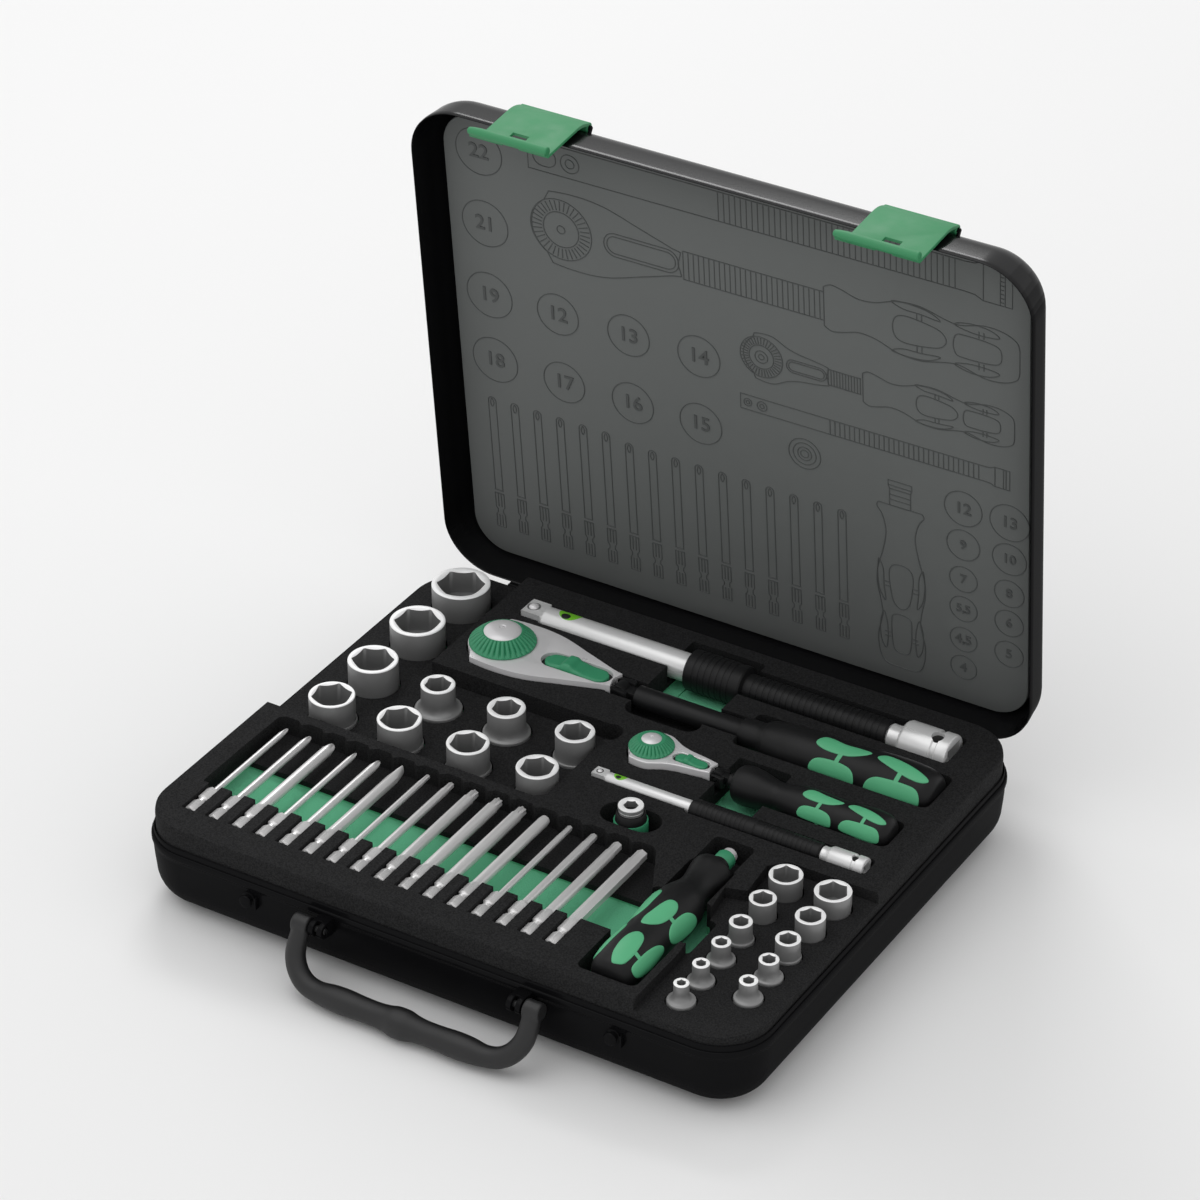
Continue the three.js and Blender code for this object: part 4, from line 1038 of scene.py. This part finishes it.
def ratchet_handle(r):
    name, y, z = r["name"], r["y"], r["z"]
    profile = smooth_line(r["handle"], 4)
    body = turn(profile, 56).along_x().shift(0, y, z)
    piece(f"{name}_grip", body, GRIP, f"{name}_ratchet", "grip_black",
          [f"{name}_ratchet_handle"], crease=40)
    half = r["nose_r"] * 0.6
    neck = r["handle"][0][1]
    tongue = box(r["pin_x"], y - r["tongue"], z - half, neck + 1, y + r["tongue"], z + half)
    nose = turn([(r["nose_r"], y - r["tongue"]), (r["nose_r"], y + r["tongue"])], 40).along_y()
    pin_half = r["ear"][1] - 0.8
    pin = turn([(r["tongue"] * 0.6, y - pin_half), (r["tongue"] * 0.6, y + pin_half)], 24)
    join = tongue.add(nose.shift(r["pin_x"], 0, z), pin.along_y().shift(r["pin_x"], 0, z))
    piece(f"{name}_swivel", join, GRIP, f"{name}_ratchet", "grip_black", bevel=0.3)
    pads = Shape()
    lift = 0.35 if r is LARGE else 0.28
    def about(place, angle, radius):
        return (place, y - radius * math.sin(angle), z + radius * math.cos(angle))
    scale, start = (1.0, 0.0) if r is LARGE else (0.735, 152.2 - 154.4 * 0.735)
    for turned in (0, 175):
        for outline in (FRONT_UPPER, FRONT_LOWER, REAR_UPPER, REAR_LOWER):
            pads.add(pad(turned_outline(outline, turned, scale, start), profile, lift, about))
        for u, a0, a1, lean in ((103.5, 28, 49, -0.8), (136.5, 28, 49, -0.6),
                                (104, 92, 118, 0), (134, 92, 113, 0)):
            pads.add(strap(u * scale + start, a0 + turned, a1 + turned, 2.4 * scale, profile,
                           lift, about, lean))
    piece(f"{name}_grip_pads", pads, PAD_GREEN, f"{name}_ratchet", "grip_green", crease=50)


# ---- extension bars ---------------------------------------------------------------------------
def extension(e):
    name, y, z = e["name"], e["y"], e["z"]
    big = e is LARGE_BAR
    r, half = e["bar_r"], e["square"] / 2
    rings = []
    steps = 48
    square = polygon_wave(4, TAU / 8)
    corner = half * math.sqrt(2) * 0.97
    rings += [circle(corner - 1.3, e["tip"], steps, square),
              circle(corner, e["tip"] + 1.0, steps, square),
              circle(corner, e["bar"] - 0.6, steps, square)]
    rings += [circle(rr, x, steps) for rr, x in (
        (r - 0.5, e["bar"]), (r, e["bar"] + 0.9), (r, e["sleeve"] - 0.3),
        (e["core_r"], e["sleeve"] - 0.29), (e["core_r"], e["end"] + 0.3),
        (e["neck_r"] - 0.5, e["end"] + 0.31), (e["neck_r"], e["end"] + 0.9))]
    neck, body, far, br = e["neck_r"], e["body"], e["far"], e["body_r"]
    slope = body - e["end"]
    rings += [circle(rr, x, steps) for rr, x in (
        (neck * 0.99, e["end"] + slope * 0.45), (neck * 1.03, e["end"] + slope * 0.7),
        (br * 0.93, body - slope * 0.1), (br, body + slope * 0.05))]
    groove = far - (far - body) * 0.3
    width = 1.7 if big else 1.0
    rings += [circle(rr, x, steps) for rr, x in (
        (br, groove - width), (br - width * 0.5, groove - width * 0.6),
        (br - width * 0.5, groove + width * 0.6), (br, groove + width), (br, far - 0.9),
        (br - 0.3, far - 0.3), (br - 1, far))]
    shape = loft(rings).along_x().shift(0, y, z)
    shaft = to_object(f"{name}_extension_bar", shape, SATIN_BAR)
    depth = e["square"] * 1.2
    hole = box(far - depth, y - half, z - half, far + 1, y + half, z + half)
    carve(shaft, hole)
    hole_r, hole_z = (3.3, z + br - 2.6) if big else (1.7, z + br - 1.3)
    dimple = turn([(hole_r, hole_z), (hole_r, z + br + 3)], 28)
    carve(shaft, dimple.shift(groove, y - hole_r * 0.6))
    # Near-black disc at the bottom of the dimple: painted shade in the pin hole.
    floor = turn([(hole_r - 0.1, hole_z - 0.2), (hole_r - 0.1, hole_z + 0.4)], 28)
    piece(f"{name}_extension_pin_hole_painted_shade", floor.shift(groove, y - hole_r * 0.6), SHADE_AND_BLACK_PRINT,
          f"{name}_extension", "satin_steel")
    finish_piece(shaft, f"{name}_extension", "satin_steel", [f"{name}_extension_shaft"], 40)
    ball = half * 0.42
    bead = turn([(ball, 0), (ball * 0.86, ball * 0.3), (ball * 0.5, ball * 0.52), (0.02, ball * 0.6)],
                28)
    rim = turn([(ball * 1.35, -0.4), (ball * 1.35, 0.06)], 28)
    at = (e["ball_x"], y, z + half * 0.97)
    piece(f"{name}_extension_ball", bead.shift(*at), POLISHED, f"{name}_extension",
          "polished_steel")
    # On the small bar the ring round the ball is near-black, painted shade where the ball sits in its
    # hole; the large bar's ring is steel.
    piece(f"{name}_extension_ball_rim", rim.shift(*at), SHADE_AND_BLACK_PRINT if not big else SATIN,
          f"{name}_extension", "satin_steel")
    def about(place, angle, radius):
        return (place, y - radius * math.sin(angle), z + radius * math.cos(angle))
    straight = [(r, e["bar"]), (r, e["sleeve"])]
    spot, reach = e["bar"] + (13.2 if big else 6.8), (6.4 if big else 3.6)
    turn_r = math.degrees(reach / r)
    lime = [(spot + reach * math.cos(TAU * i / 24), -24 + turn_r * math.sin(TAU * i / 24))
            for i in range(24)]
    piece(f"{name}_extension_mark", pad(lime, straight, 0.05, about), LIME,
          f"{name}_extension", "grip_green")
    dot_r = reach * 0.33
    turn_d = math.degrees(dot_r / r)
    dot = [(spot - reach * 0.15 + dot_r * 1.25 * math.cos(TAU * i / 20),
            6 + turn_d * math.sin(TAU * i / 20)) for i in range(20)]
    piece(f"{name}_extension_dot", pad(dot, straight, 0.09, about), SHADE_AND_BLACK_PRINT,
          f"{name}_extension", "grip_black")


def extension_sleeve(e):
    """Black turning sleeve with fine ribs in two runs, and plain bands between them."""
    name, y, z = e["name"], e["y"], e["z"]
    big = e is LARGE_BAR
    thick, thin, pitch = e["sleeve_r"], e["thin_r"], (3.4 if big else 2.6)
    profile = [(e["core_r"] + 0.3, e["sleeve"]), (thick - 1.0, e["sleeve"]),
               (thick - 0.2, e["sleeve"] + 0.6), (thick, e["sleeve"] + 1.4)]
    deep = 0.3 if big else 0.2
    def run(start, end, radius):
        x = start
        while x + pitch < end:
            profile.extend([(radius, x), (radius, x + pitch * 0.62),
                            (radius - deep, x + pitch * 0.7), (radius - deep, x + pitch * 0.92)])
            x += pitch
        profile.append((radius, end))
    run(e["sleeve"] + 3, e["step"] - 3, thick)
    profile.extend([(thick, e["step"] - 0.8), (thick - 0.5, e["step"]), (thin, e["step"] + 0.8)])
    run(e["step"] + 3, e["end"] - 2, thin)
    profile.extend([(thin, e["end"] - 0.6), (thin - 0.5, e["end"]), (e["core_r"] + 0.3, e["end"])])
    shape = turn_tube(profile, 48).along_x().shift(0, y, z)
    piece(f"{name}_sleeve_skin", shape, GRIP, f"{name}_sleeve", "grip_black",
          [f"{name}_extension_sleeve"], crease=30)


# ---- bit driver -------------------------------------------------------------------------------
DRIVER_GRIP = [(3, -128.6), (7, -128.2), (9.8, -126.6), (11.5, -122.4), (12.4, -115.5),
               (12.5, -108), (12, -100), (11.8, -93), (12.3, -84), (12.8, -76), (12.6, -68),
               (11.8, -61), (10, -55), (8.9, -50), (9, -45), (9.8, -40), (10.6, -36), (10.7, -33.4),
               (10.2, -31.4), (8.8, -30.4), (5, -30)]
DRIVER_FRONT_LEFT = [(-96, -6), (-95.6, 10), (-93, 24), (-89.5, 33.5), (-84, 38.5), (-79, 38),
                     (-75.4, 31), (-74.2, 20), (-75.6, 8), (-80, 0), (-86, -6), (-91.5, -11)]
DRIVER_FRONT_RIGHT = [(-91, 70), (-89, 56), (-85, 48.5), (-79, 48.5), (-73.5, 55), (-69.5, 72),
                      (-68.4, 92), (-71, 104), (-78, 104), (-85, 100), (-90, 88)]
DRIVER_REAR_LEFT = [(-126.4, 18), (-126.2, 6), (-122, -4), (-115, -8), (-108, -6), (-103.6, 4),
                    (-103, 18), (-106, 30), (-113, 36), (-120, 38), (-124.5, 34)]
DRIVER_REAR_RIGHT = [(-123, 70), (-122, 54), (-116, 50.5), (-108, 52), (-101, 60), (-97, 74),
                     (-98, 88), (-106, 94), (-115, 93), (-121, 86)]


def on_driver(shape):
    """Shape about the vertical, laid along the driver's axis."""
    return shape.along_y().shift(DRIVER_X, 0, DRIVER_Z)


def driver():
    profile = smooth_line(DRIVER_GRIP, 4)
    body = on_driver(turn(profile, 56))
    neck = on_driver(turn([(3.8, -31), (3.8, -15), (3.5, -14.4)], 40))
    handle = to_object("driver_grip", body, GRIP)
    finish_piece(handle, "driver", "grip_black", ["driver_handle"], 45)
    nose = to_object("driver_nose", neck, POLISHED)
    flat = hexagon(6.1, 0, 0)
    carve(nose, on_driver(loft([[(a, b, y) for a, b, _ in flat] for y in (-28, -13)])))
    finish_piece(nose, "driver", "polished_steel")
    def about(place, angle, radius):
        return (DRIVER_X + radius * math.sin(angle), place, DRIVER_Z + radius * math.cos(angle))
    pads = Shape()
    for turned in (0, 127, 233):
        for outline in (DRIVER_FRONT_LEFT, DRIVER_FRONT_RIGHT, DRIVER_REAR_LEFT,
                        DRIVER_REAR_RIGHT):
            pads.add(pad(turned_outline(outline, turned), profile, 0.35, about))
        for u, a0, a1 in ((-84, 37, 50), (-115.5, 35, 52)):
            pads.add(strap(u, a0 + turned, a1 + turned, 2.2, profile, 0.35, about))
    piece("driver_grip_pads", pads, PAD_GREEN, "driver", "grip_green", crease=50)
    for name, look, slot, profile, replaces in (
            ("driver_slide_collar", RING_GREEN, "grip_green",
             [(4.0, -24.6), (4.7, -24.6), (5, -24.2), (5, -19), (4.7, -18.2), (4.0, -18.2)],
             ["driver_collar"]),
            ("driver_collar_base", GRIP, "grip_black",
             [(4.0, -29.6), (5.2, -29.6), (5.0, -24.7), (4.0, -24.7)], [])):
        piece(name, on_driver(turn_tube(profile, 48)), look, "driver_collar", slot, replaces,
              crease=40)


# ---- soft liner in the lid --------------------------------------------------------------------
LINE_W, LINE_H = 0.62, 0.3


class Art:
    """Embossed lines on the liner, drawn in the closed lid's plan."""

    def __init__(self):
        self.lines = Shape()

    def stroke(self, points, closed=False, width=LINE_W):
        count = len(points)
        rings = []
        for i, (x, y) in enumerate(points):
            if closed:
                a, b = points[i - 1], points[(i + 1) % count]
            else:
                a, b = points[max(i - 1, 0)], points[min(i + 1, count - 1)]
            dx, dy = b[0] - a[0], b[1] - a[1]
            size = math.hypot(dx, dy) or 1
            nx, ny = -dy / size * width / 2, dx / size * width / 2
            rings.append([(x + nx, y + ny, LINER_FACE + 0.1),
                          (x + nx * 0.5, y + ny * 0.5, LINER_FACE - LINE_H),
                          (x - nx * 0.5, y - ny * 0.5, LINER_FACE - LINE_H),
                          (x - nx, y - ny, LINER_FACE + 0.1)])
        if closed:
            rings.append(rings[0])
        self.lines.add(loft(rings, not closed))

    def line(self, x0, y0, x1, y1, width=LINE_W):
        self.stroke([(x0, y0), (x1, y1)], width=width)

    def ring(self, x, y, r, steps=44, width=LINE_W):
        self.stroke(arc(x, y, r, 0, TAU, steps)[:-1], True, width)

    def loop(self, points, smooth=0):
        self.stroke(smooth_line(points, smooth, True) if smooth else points, True)

    def bars(self, x0, x1, y0, y1, pitch, width=LINE_W):
        count = int((x1 - x0) / pitch)
        for i in range(count + 1):
            x = x0 + pitch * i
            self.line(x, y0, x, y1, width)


def number_shape(text, x, y, height):
    """Raised digits, read from the front of the open lid."""
    curve = bpy.data.curves.new("digits", "FONT")
    curve.body = text
    curve.size = height / 0.72
    curve.align_x = "CENTER"
    curve.align_y = "CENTER"
    curve.extrude = 0.25
    curve.offset = 0.12
    curve.resolution_u = 3
    obj = bpy.data.objects.new("digits", curve)
    bpy.context.scene.collection.objects.link(obj)
    graph = bpy.context.evaluated_depsgraph_get()
    mesh = bpy.data.meshes.new_from_object(obj.evaluated_get(graph))
    shape = Shape([(x + v.co.x, y - v.co.y, LINER_FACE - 0.15 - v.co.z) for v in mesh.vertices],
                  [tuple(f.vertices) for f in mesh.polygons])
    bpy.data.objects.remove(obj)
    bpy.data.meshes.remove(mesh)
    bpy.data.curves.remove(curve)
    return shape


NUMBERED = [
    (22, -140.8, -112, 13.3), (21, -140.3, -70, 13.3), (19, -141, -27, 13.3),
    (18, -140.6, 12.5, 13.3), (12, -100.8, -27.6, 13.3), (17, -99.7, 13.5, 13.3),
    (13, -59.8, -27.6, 13.3), (16, -59.5, 13.2, 13.3), (14, -19.6, -27.7, 13.3),
    (15, -20.2, 13.1, 13.3), (12, 126, 16, 10.2), (13, 151, 16, 10.6), (9, 126, 38, 9),
    (10, 151, 38, 9.2), (7, 126, 59, 7.6), (8, 151, 59, 8), (5.5, 126, 77.3, 7.5),
    (6, 151, 77.3, 7.8), (4.5, 126, 96.4, 7.4), (5, 151, 96.5, 7.8), (4, 126, 114, 7.2)]


def draw_pads(art, place, half):
    """Pad shapes on a drawn handle; place(u, v) maps its length and width, each from 0 to 1."""
    def path(points, smooth=4):
        art.loop([place(u, v * half) for u, v in points], smooth)
    path([(0.37, -0.36), (0.42, -0.5), (0.52, -0.44), (0.6, -0.3), (0.63, 0), (0.6, 0.3),
          (0.52, 0.44), (0.42, 0.5), (0.37, 0.36), (0.355, 0)])
    path([(0.68, -0.36), (0.73, -0.42), (0.83, -0.4), (0.895, -0.3), (0.91, 0), (0.895, 0.3),
          (0.83, 0.4), (0.73, 0.42), (0.68, 0.36), (0.665, 0)])
    for side in (-1, 1):
        path([(0.35, 0.92 * side), (0.44, 0.98 * side), (0.54, 0.9 * side), (0.6, 0.66 * side),
              (0.5, 0.72 * side), (0.41, 0.74 * side)])
        path([(0.67, 0.74 * side), (0.75, 0.9 * side), (0.85, 0.86 * side), (0.9, 0.66 * side),
              (0.83, 0.58 * side), (0.74, 0.6 * side)])
        for u in (0.48, 0.505, 0.795, 0.82):
            a, b = place(u, 0.46 * side * half), place(u, 0.7 * side * half)
            art.line(*a, *b)


HANDLE_EDGE = [(0, 0.72), (0.04, 0.86), (0.1, 0.78), (0.18, 0.62), (0.27, 0.68), (0.38, 0.95),
               (0.5, 1), (0.62, 0.8), (0.7, 0.74), (0.82, 0.96), (0.92, 0.92), (0.985, 0.7),
               (1, 0.4)]
DRIVER_EDGE = [(0, 0.9), (0.025, 0.97), (0.07, 0.76), (0.14, 0.62), (0.2, 0.62), (0.3, 0.76),
               (0.4, 0.96), (0.5, 1), (0.62, 0.84), (0.7, 0.8), (0.82, 0.98), (0.92, 0.94),
               (0.985, 0.74), (1, 0.4)]


def draw_handle(art, place, half, edge):
    """Handle's outline and pads; place(u, v) gives a point u along it and v beside its axis."""
    first, second = [smooth_line([place(u, side * v * half) for u, v in edge], 4)
                     for side in (-1, 1)]
    art.stroke(first + second[::-1], True)
    draw_pads(art, place, half)


def draw_ratchet(art, r, y, handle, half, shaft_half, shaft, ring):
    x, outer = ring
    shifted = dict(r, y=0)
    points = [(a, y + b) for a, b in head_outline(shifted, 0.8)]
    art.stroke(points, True)
    art.ring(x, y, outer)
    art.ring(x, y, outer * 0.58)
    art.ring(x, y, outer * 0.13, 16)
    if r is SMALL:
        art.ring(x, y, outer * 0.3, 24)
    ribs = 36
    for i in range(ribs):
        a = TAU * i / ribs
        art.line(x + outer * 0.64 * math.cos(a), y + outer * 0.64 * math.sin(a),
                 x + outer * 0.95 * math.cos(a), y + outer * 0.95 * math.sin(a))
    middle = y
    for shrink in (0, 1.8 if r is LARGE else 1.2):
        h = r["slot_half"] * 1.02 - shrink
        art.loop(rounded_box(r["slot"][0] - 1 + shrink, middle - h, r["slot"][1] + 1 - shrink,
                             middle + h, h - 0.05, 8))
    art.line(shaft[0], y - shaft_half, shaft[1], y - shaft_half)
    art.line(shaft[0], y + shaft_half, shaft[1], y + shaft_half)
    art.bars(shaft[0], shaft[1], y - shaft_half, y + shaft_half, 2.9 if r is LARGE else 1.6,
             0.6 if r is LARGE else 0.5)
    x0, length = handle[0], handle[1] - handle[0]
    draw_handle(art, lambda u, v: (x0 + u * length, y + v), half, HANDLE_EDGE)


def draw_extension(art, e, y, half, start, ribs_from):
    """Extension bar: square tip, round bar, ribbed sleeve and socket end."""
    r = half
    far = e["far"] + (8 if e is LARGE_BAR else -2)
    body, end = far - r * 1.8, far - r * 2.9
    art.stroke([(start, y - r), (end, y - r), (end + r * 0.6, y - r * 1.05), (body, y - r * 1.3),
                (far, y - r * 1.3), (far, y + r * 1.3), (body, y + r * 1.3),
                (end + r * 0.6, y + r * 1.05), (end, y + r), (start, y + r)], True)
    art.bars(start + ribs_from, end - 3, y - r, y + r, 3.1 if e is LARGE_BAR else 2.7, 0.6)
    for x in (body, far - r * 0.75, far - r * 0.45):
        art.line(x, y - r * 1.3, x, y + r * 1.3)
    if e is LARGE_BAR:
        art.ring(start + 24, y, r * 0.62, 24)
        art.ring(start + 24, y, r * 0.3, 16)
        art.loop(rounded_box(start + 3, y - r * 0.62, start + 16, y + r * 0.62, r * 0.6))
        for k in range(9):
            yy = y - r * 1.15 + k * r * 0.28
            art.line(far - r * 0.7, yy, far - r * 0.5, yy)
    else:
        for x, size in ((start + 4, 0.5), (start + 12, 0.62)):
            art.ring(x, y, r * size, 24)
            art.ring(x, y, r * size * 0.45, 16)


def draw_bits(art):
    for i in range(BIT_COUNT):
        x = BIT_FIRST_X + BIT_PITCH * i + 3.6
        top = 34 if i < 6 else 36.5
        for side in (-1, 1):
            art.line(x + 2.25 * side, top + 5, x + 2.25 * side, 96)
        art.stroke([(x - 2.25, top + 5)] + arc(x, top + 5, 2.25, TAU / 2, TAU, 8)[1:-1]
                   + [(x + 2.25, top + 5)])
        art.stroke(smooth_line([(x - 1, top + 6), (x, top + 3.6), (x + 1, top + 6),
                                (x, top + 8.6)], 4, True), True)
        for y in (96, 98):
            art.line(x - 2.6, y, x + 2.6, y)
        art.loop([(x - 2.6, 98), (x + 2.6, 98), (x + 2.6, 107), (x + 1.6, 108.4), (x + 1.6, 110.4),
                  (x + 2.6, 111.6), (x + 2.6, 119.6), (x - 2.6, 119.6), (x - 2.6, 111.6),
                  (x - 1.6, 110.4), (x - 1.6, 108.4), (x - 2.6, 107)])
        for side in (-1, 1):
            art.line(x + 0.9 * side, 98.6, x + 0.9 * side, 106.6)
            art.line(x + 0.9 * side, 112, x + 0.9 * side, 119)


def draw_driver(art):
    x, top, end = 91.5, 12.0, 127.0
    art.loop([(x - 6.5, top), (x + 6.5, top), (x + 6.5, top + 3), (x + 5.8, top + 5),
              (x + 5.8, top + 15), (x - 5.8, top + 15), (x - 5.8, top + 5), (x - 6.5, top + 3)])
    for y in (top + 3, top + 5, top + 8.5, top + 11.5):
        art.line(x - 5.9, y, x + 5.9, y)
    start = top + 15
    length = end - start
    draw_handle(art, lambda u, v: (x + v, start + u * length), 13.4, DRIVER_EDGE)


def liner_art():
    art = Art()
    for size, x, y, r in NUMBERED:
        art.ring(x, y, r * 0.9 if 12 <= size < 18 and r > 12 else r)
        art.lines.add(number_shape(str(size).replace(".", ","), x, y, 8.4 if r > 12 else
                                   (6.6 if size in (12, 13) else 5.4 if size != 5.5 else 4.8)))
    art.ring(38.7, 12, 8.9)
    for r in (6.4, 3.9, 2.2):
        art.ring(38.7, 12, r, 32)
    draw_bits(art)
    draw_ratchet(art, LARGE, -79.5, (51.6, 156), 15.5, 8.2, (-26, 51.6), (-95.5, 17.5))
    draw_ratchet(art, SMALL, -38.6, (72, 153.4), 11.5, 4.6, (53, 71), (16, 11.8))
    draw_extension(art, LARGE_BAR, -119.5, 8.4, -112, 107)
    draw_extension(art, SMALL_BAR, -9, 4.4, 3.4, 50)
    draw_driver(art)
    return art.lines


def liner_ring(inset, z, corner=20.0):
    return [(x, y, z) for x, y in rounded_box(
        -161.5 + inset, -132 + inset, 161.5 - inset, 136 - inset, max(corner - inset, 5),
        CORNER_STEPS)]


def lid_liner():
    """Soft pad lining the lid, with its embossed lines and digits joined into one mesh."""
    face = LINER_FACE
    rings = [liner_ring(i, z) for i, z in (
        (0.9, face), (0.25, face + 0.25), (0, face + 0.9), (0, face + 4.2), (0.6, face + 6.2),
        (2.6, face + 8.2), (5.4, LINER_BACK - 0.8), (7.2, LINER_BACK - 0.1))]
    pad_shape = loft(rings)
    liner = to_object("liner_pad", pad_shape, LINER, OPENED)
    # The lines and digits take the darker grey: painted shade along the embossing.
    lines = to_object("liner_lines", liner_art(), PAINTED_SHADE_LINES, OPENED)
    for obj in (liner, lines):
        obj.data.shade_smooth()
        obj.data.set_sharp_from_angle(angle=math.radians(30))
    bpy.ops.object.select_all(action="DESELECT")
    liner.select_set(True)
    lines.select_set(True)
    bpy.context.view_layer.objects.active = liner
    bpy.ops.object.join()
    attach(liner, "lid")
    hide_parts("lid_liner")
    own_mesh(liner)


# ---- build ------------------------------------------------------------------------------------
base_shell()
lid_shell()
foam_tray()
lid_liner()
for latch_row in LATCHES:
    latch(*latch_row)
carry_handle()
all_sockets()
for number in range(BIT_COUNT):
    bit(number)
bit_marks()
adaptor()
for ratchet in RATCHETS:
    ratchet_head(ratchet)
    thumb_ring(ratchet)
    slide_switch(ratchet)
    ratchet_handle(ratchet)
for bar in BARS:
    extension(bar)
    extension_sleeve(bar)
driver()

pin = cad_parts["hinge_pin"]
pin.data.materials.clear()
pin.data.materials.append(ENAMEL)


# ---- camera -----------------------------------------------------------------------------------
def camera():
    azimuth, elevation = math.radians(31.15), math.radians(33.0)
    aim, distance = Vector((-0.114177, 0.204902, 0.0)), 2.45518
    away = Vector((math.sin(azimuth) * math.cos(elevation), -math.cos(azimuth)
                   * math.cos(elevation), math.sin(elevation)))
    data = bpy.data.cameras.new("view")
    data.lens = 137.94
    data.sensor_width = 36
    data.clip_end = 50
    made = bpy.data.objects.new("view", data)
    made.location = aim + away * distance
    made.rotation_euler = away.to_track_quat("Z", "Y").to_euler()
    bpy.context.scene.collection.objects.link(made)
    bpy.context.scene.camera = made


# ---- floor and light --------------------------------------------------------------------------
def floor():
    shape = Shape([(-6000, -6000, -0.2), (6000, -6000, -0.2), (6000, 6000, -0.2),
                   (-6000, 6000, -0.2)], [(0, 1, 2, 3)])
    look = material("floor_paper", (0.83, 0.83, 0.83), 0.9, grain=60, depth=0.0, mottle=0.004)
    to_object("floor", shape, look)


def area_light(name, at, target, size, power):
    data = bpy.data.lights.new(name, "AREA")
    data.shape = "RECTANGLE"
    data.size, data.size_y = size
    data.energy = power
    lamp = bpy.data.objects.new(name, data)
    lamp.location = at
    lamp.rotation_euler = (Vector(at) - Vector(target)).to_track_quat("Z", "Y").to_euler()
    bpy.context.scene.collection.objects.link(lamp)


def lights():
    world = bpy.data.worlds.new("studio")
    world.use_nodes = True
    world.node_tree.nodes["Background"].inputs["Color"].default_value = (1, 1, 1, 1)
    world.node_tree.nodes["Background"].inputs["Strength"].default_value = 0.76
    bpy.context.scene.world = world
    area_light("key", (-0.5, -0.5, 1.9), (0, 0, 0.05), (1.8, 1.8), 9)
    area_light("back", (-0.95, 1.5, 1.85), (0, 0.15, 0.2), (0.9, 0.6), 13)


camera()
floor()
lights()
bpy.context.scene.view_settings.view_transform = "Standard"
bpy.context.scene.view_settings.look = "None"
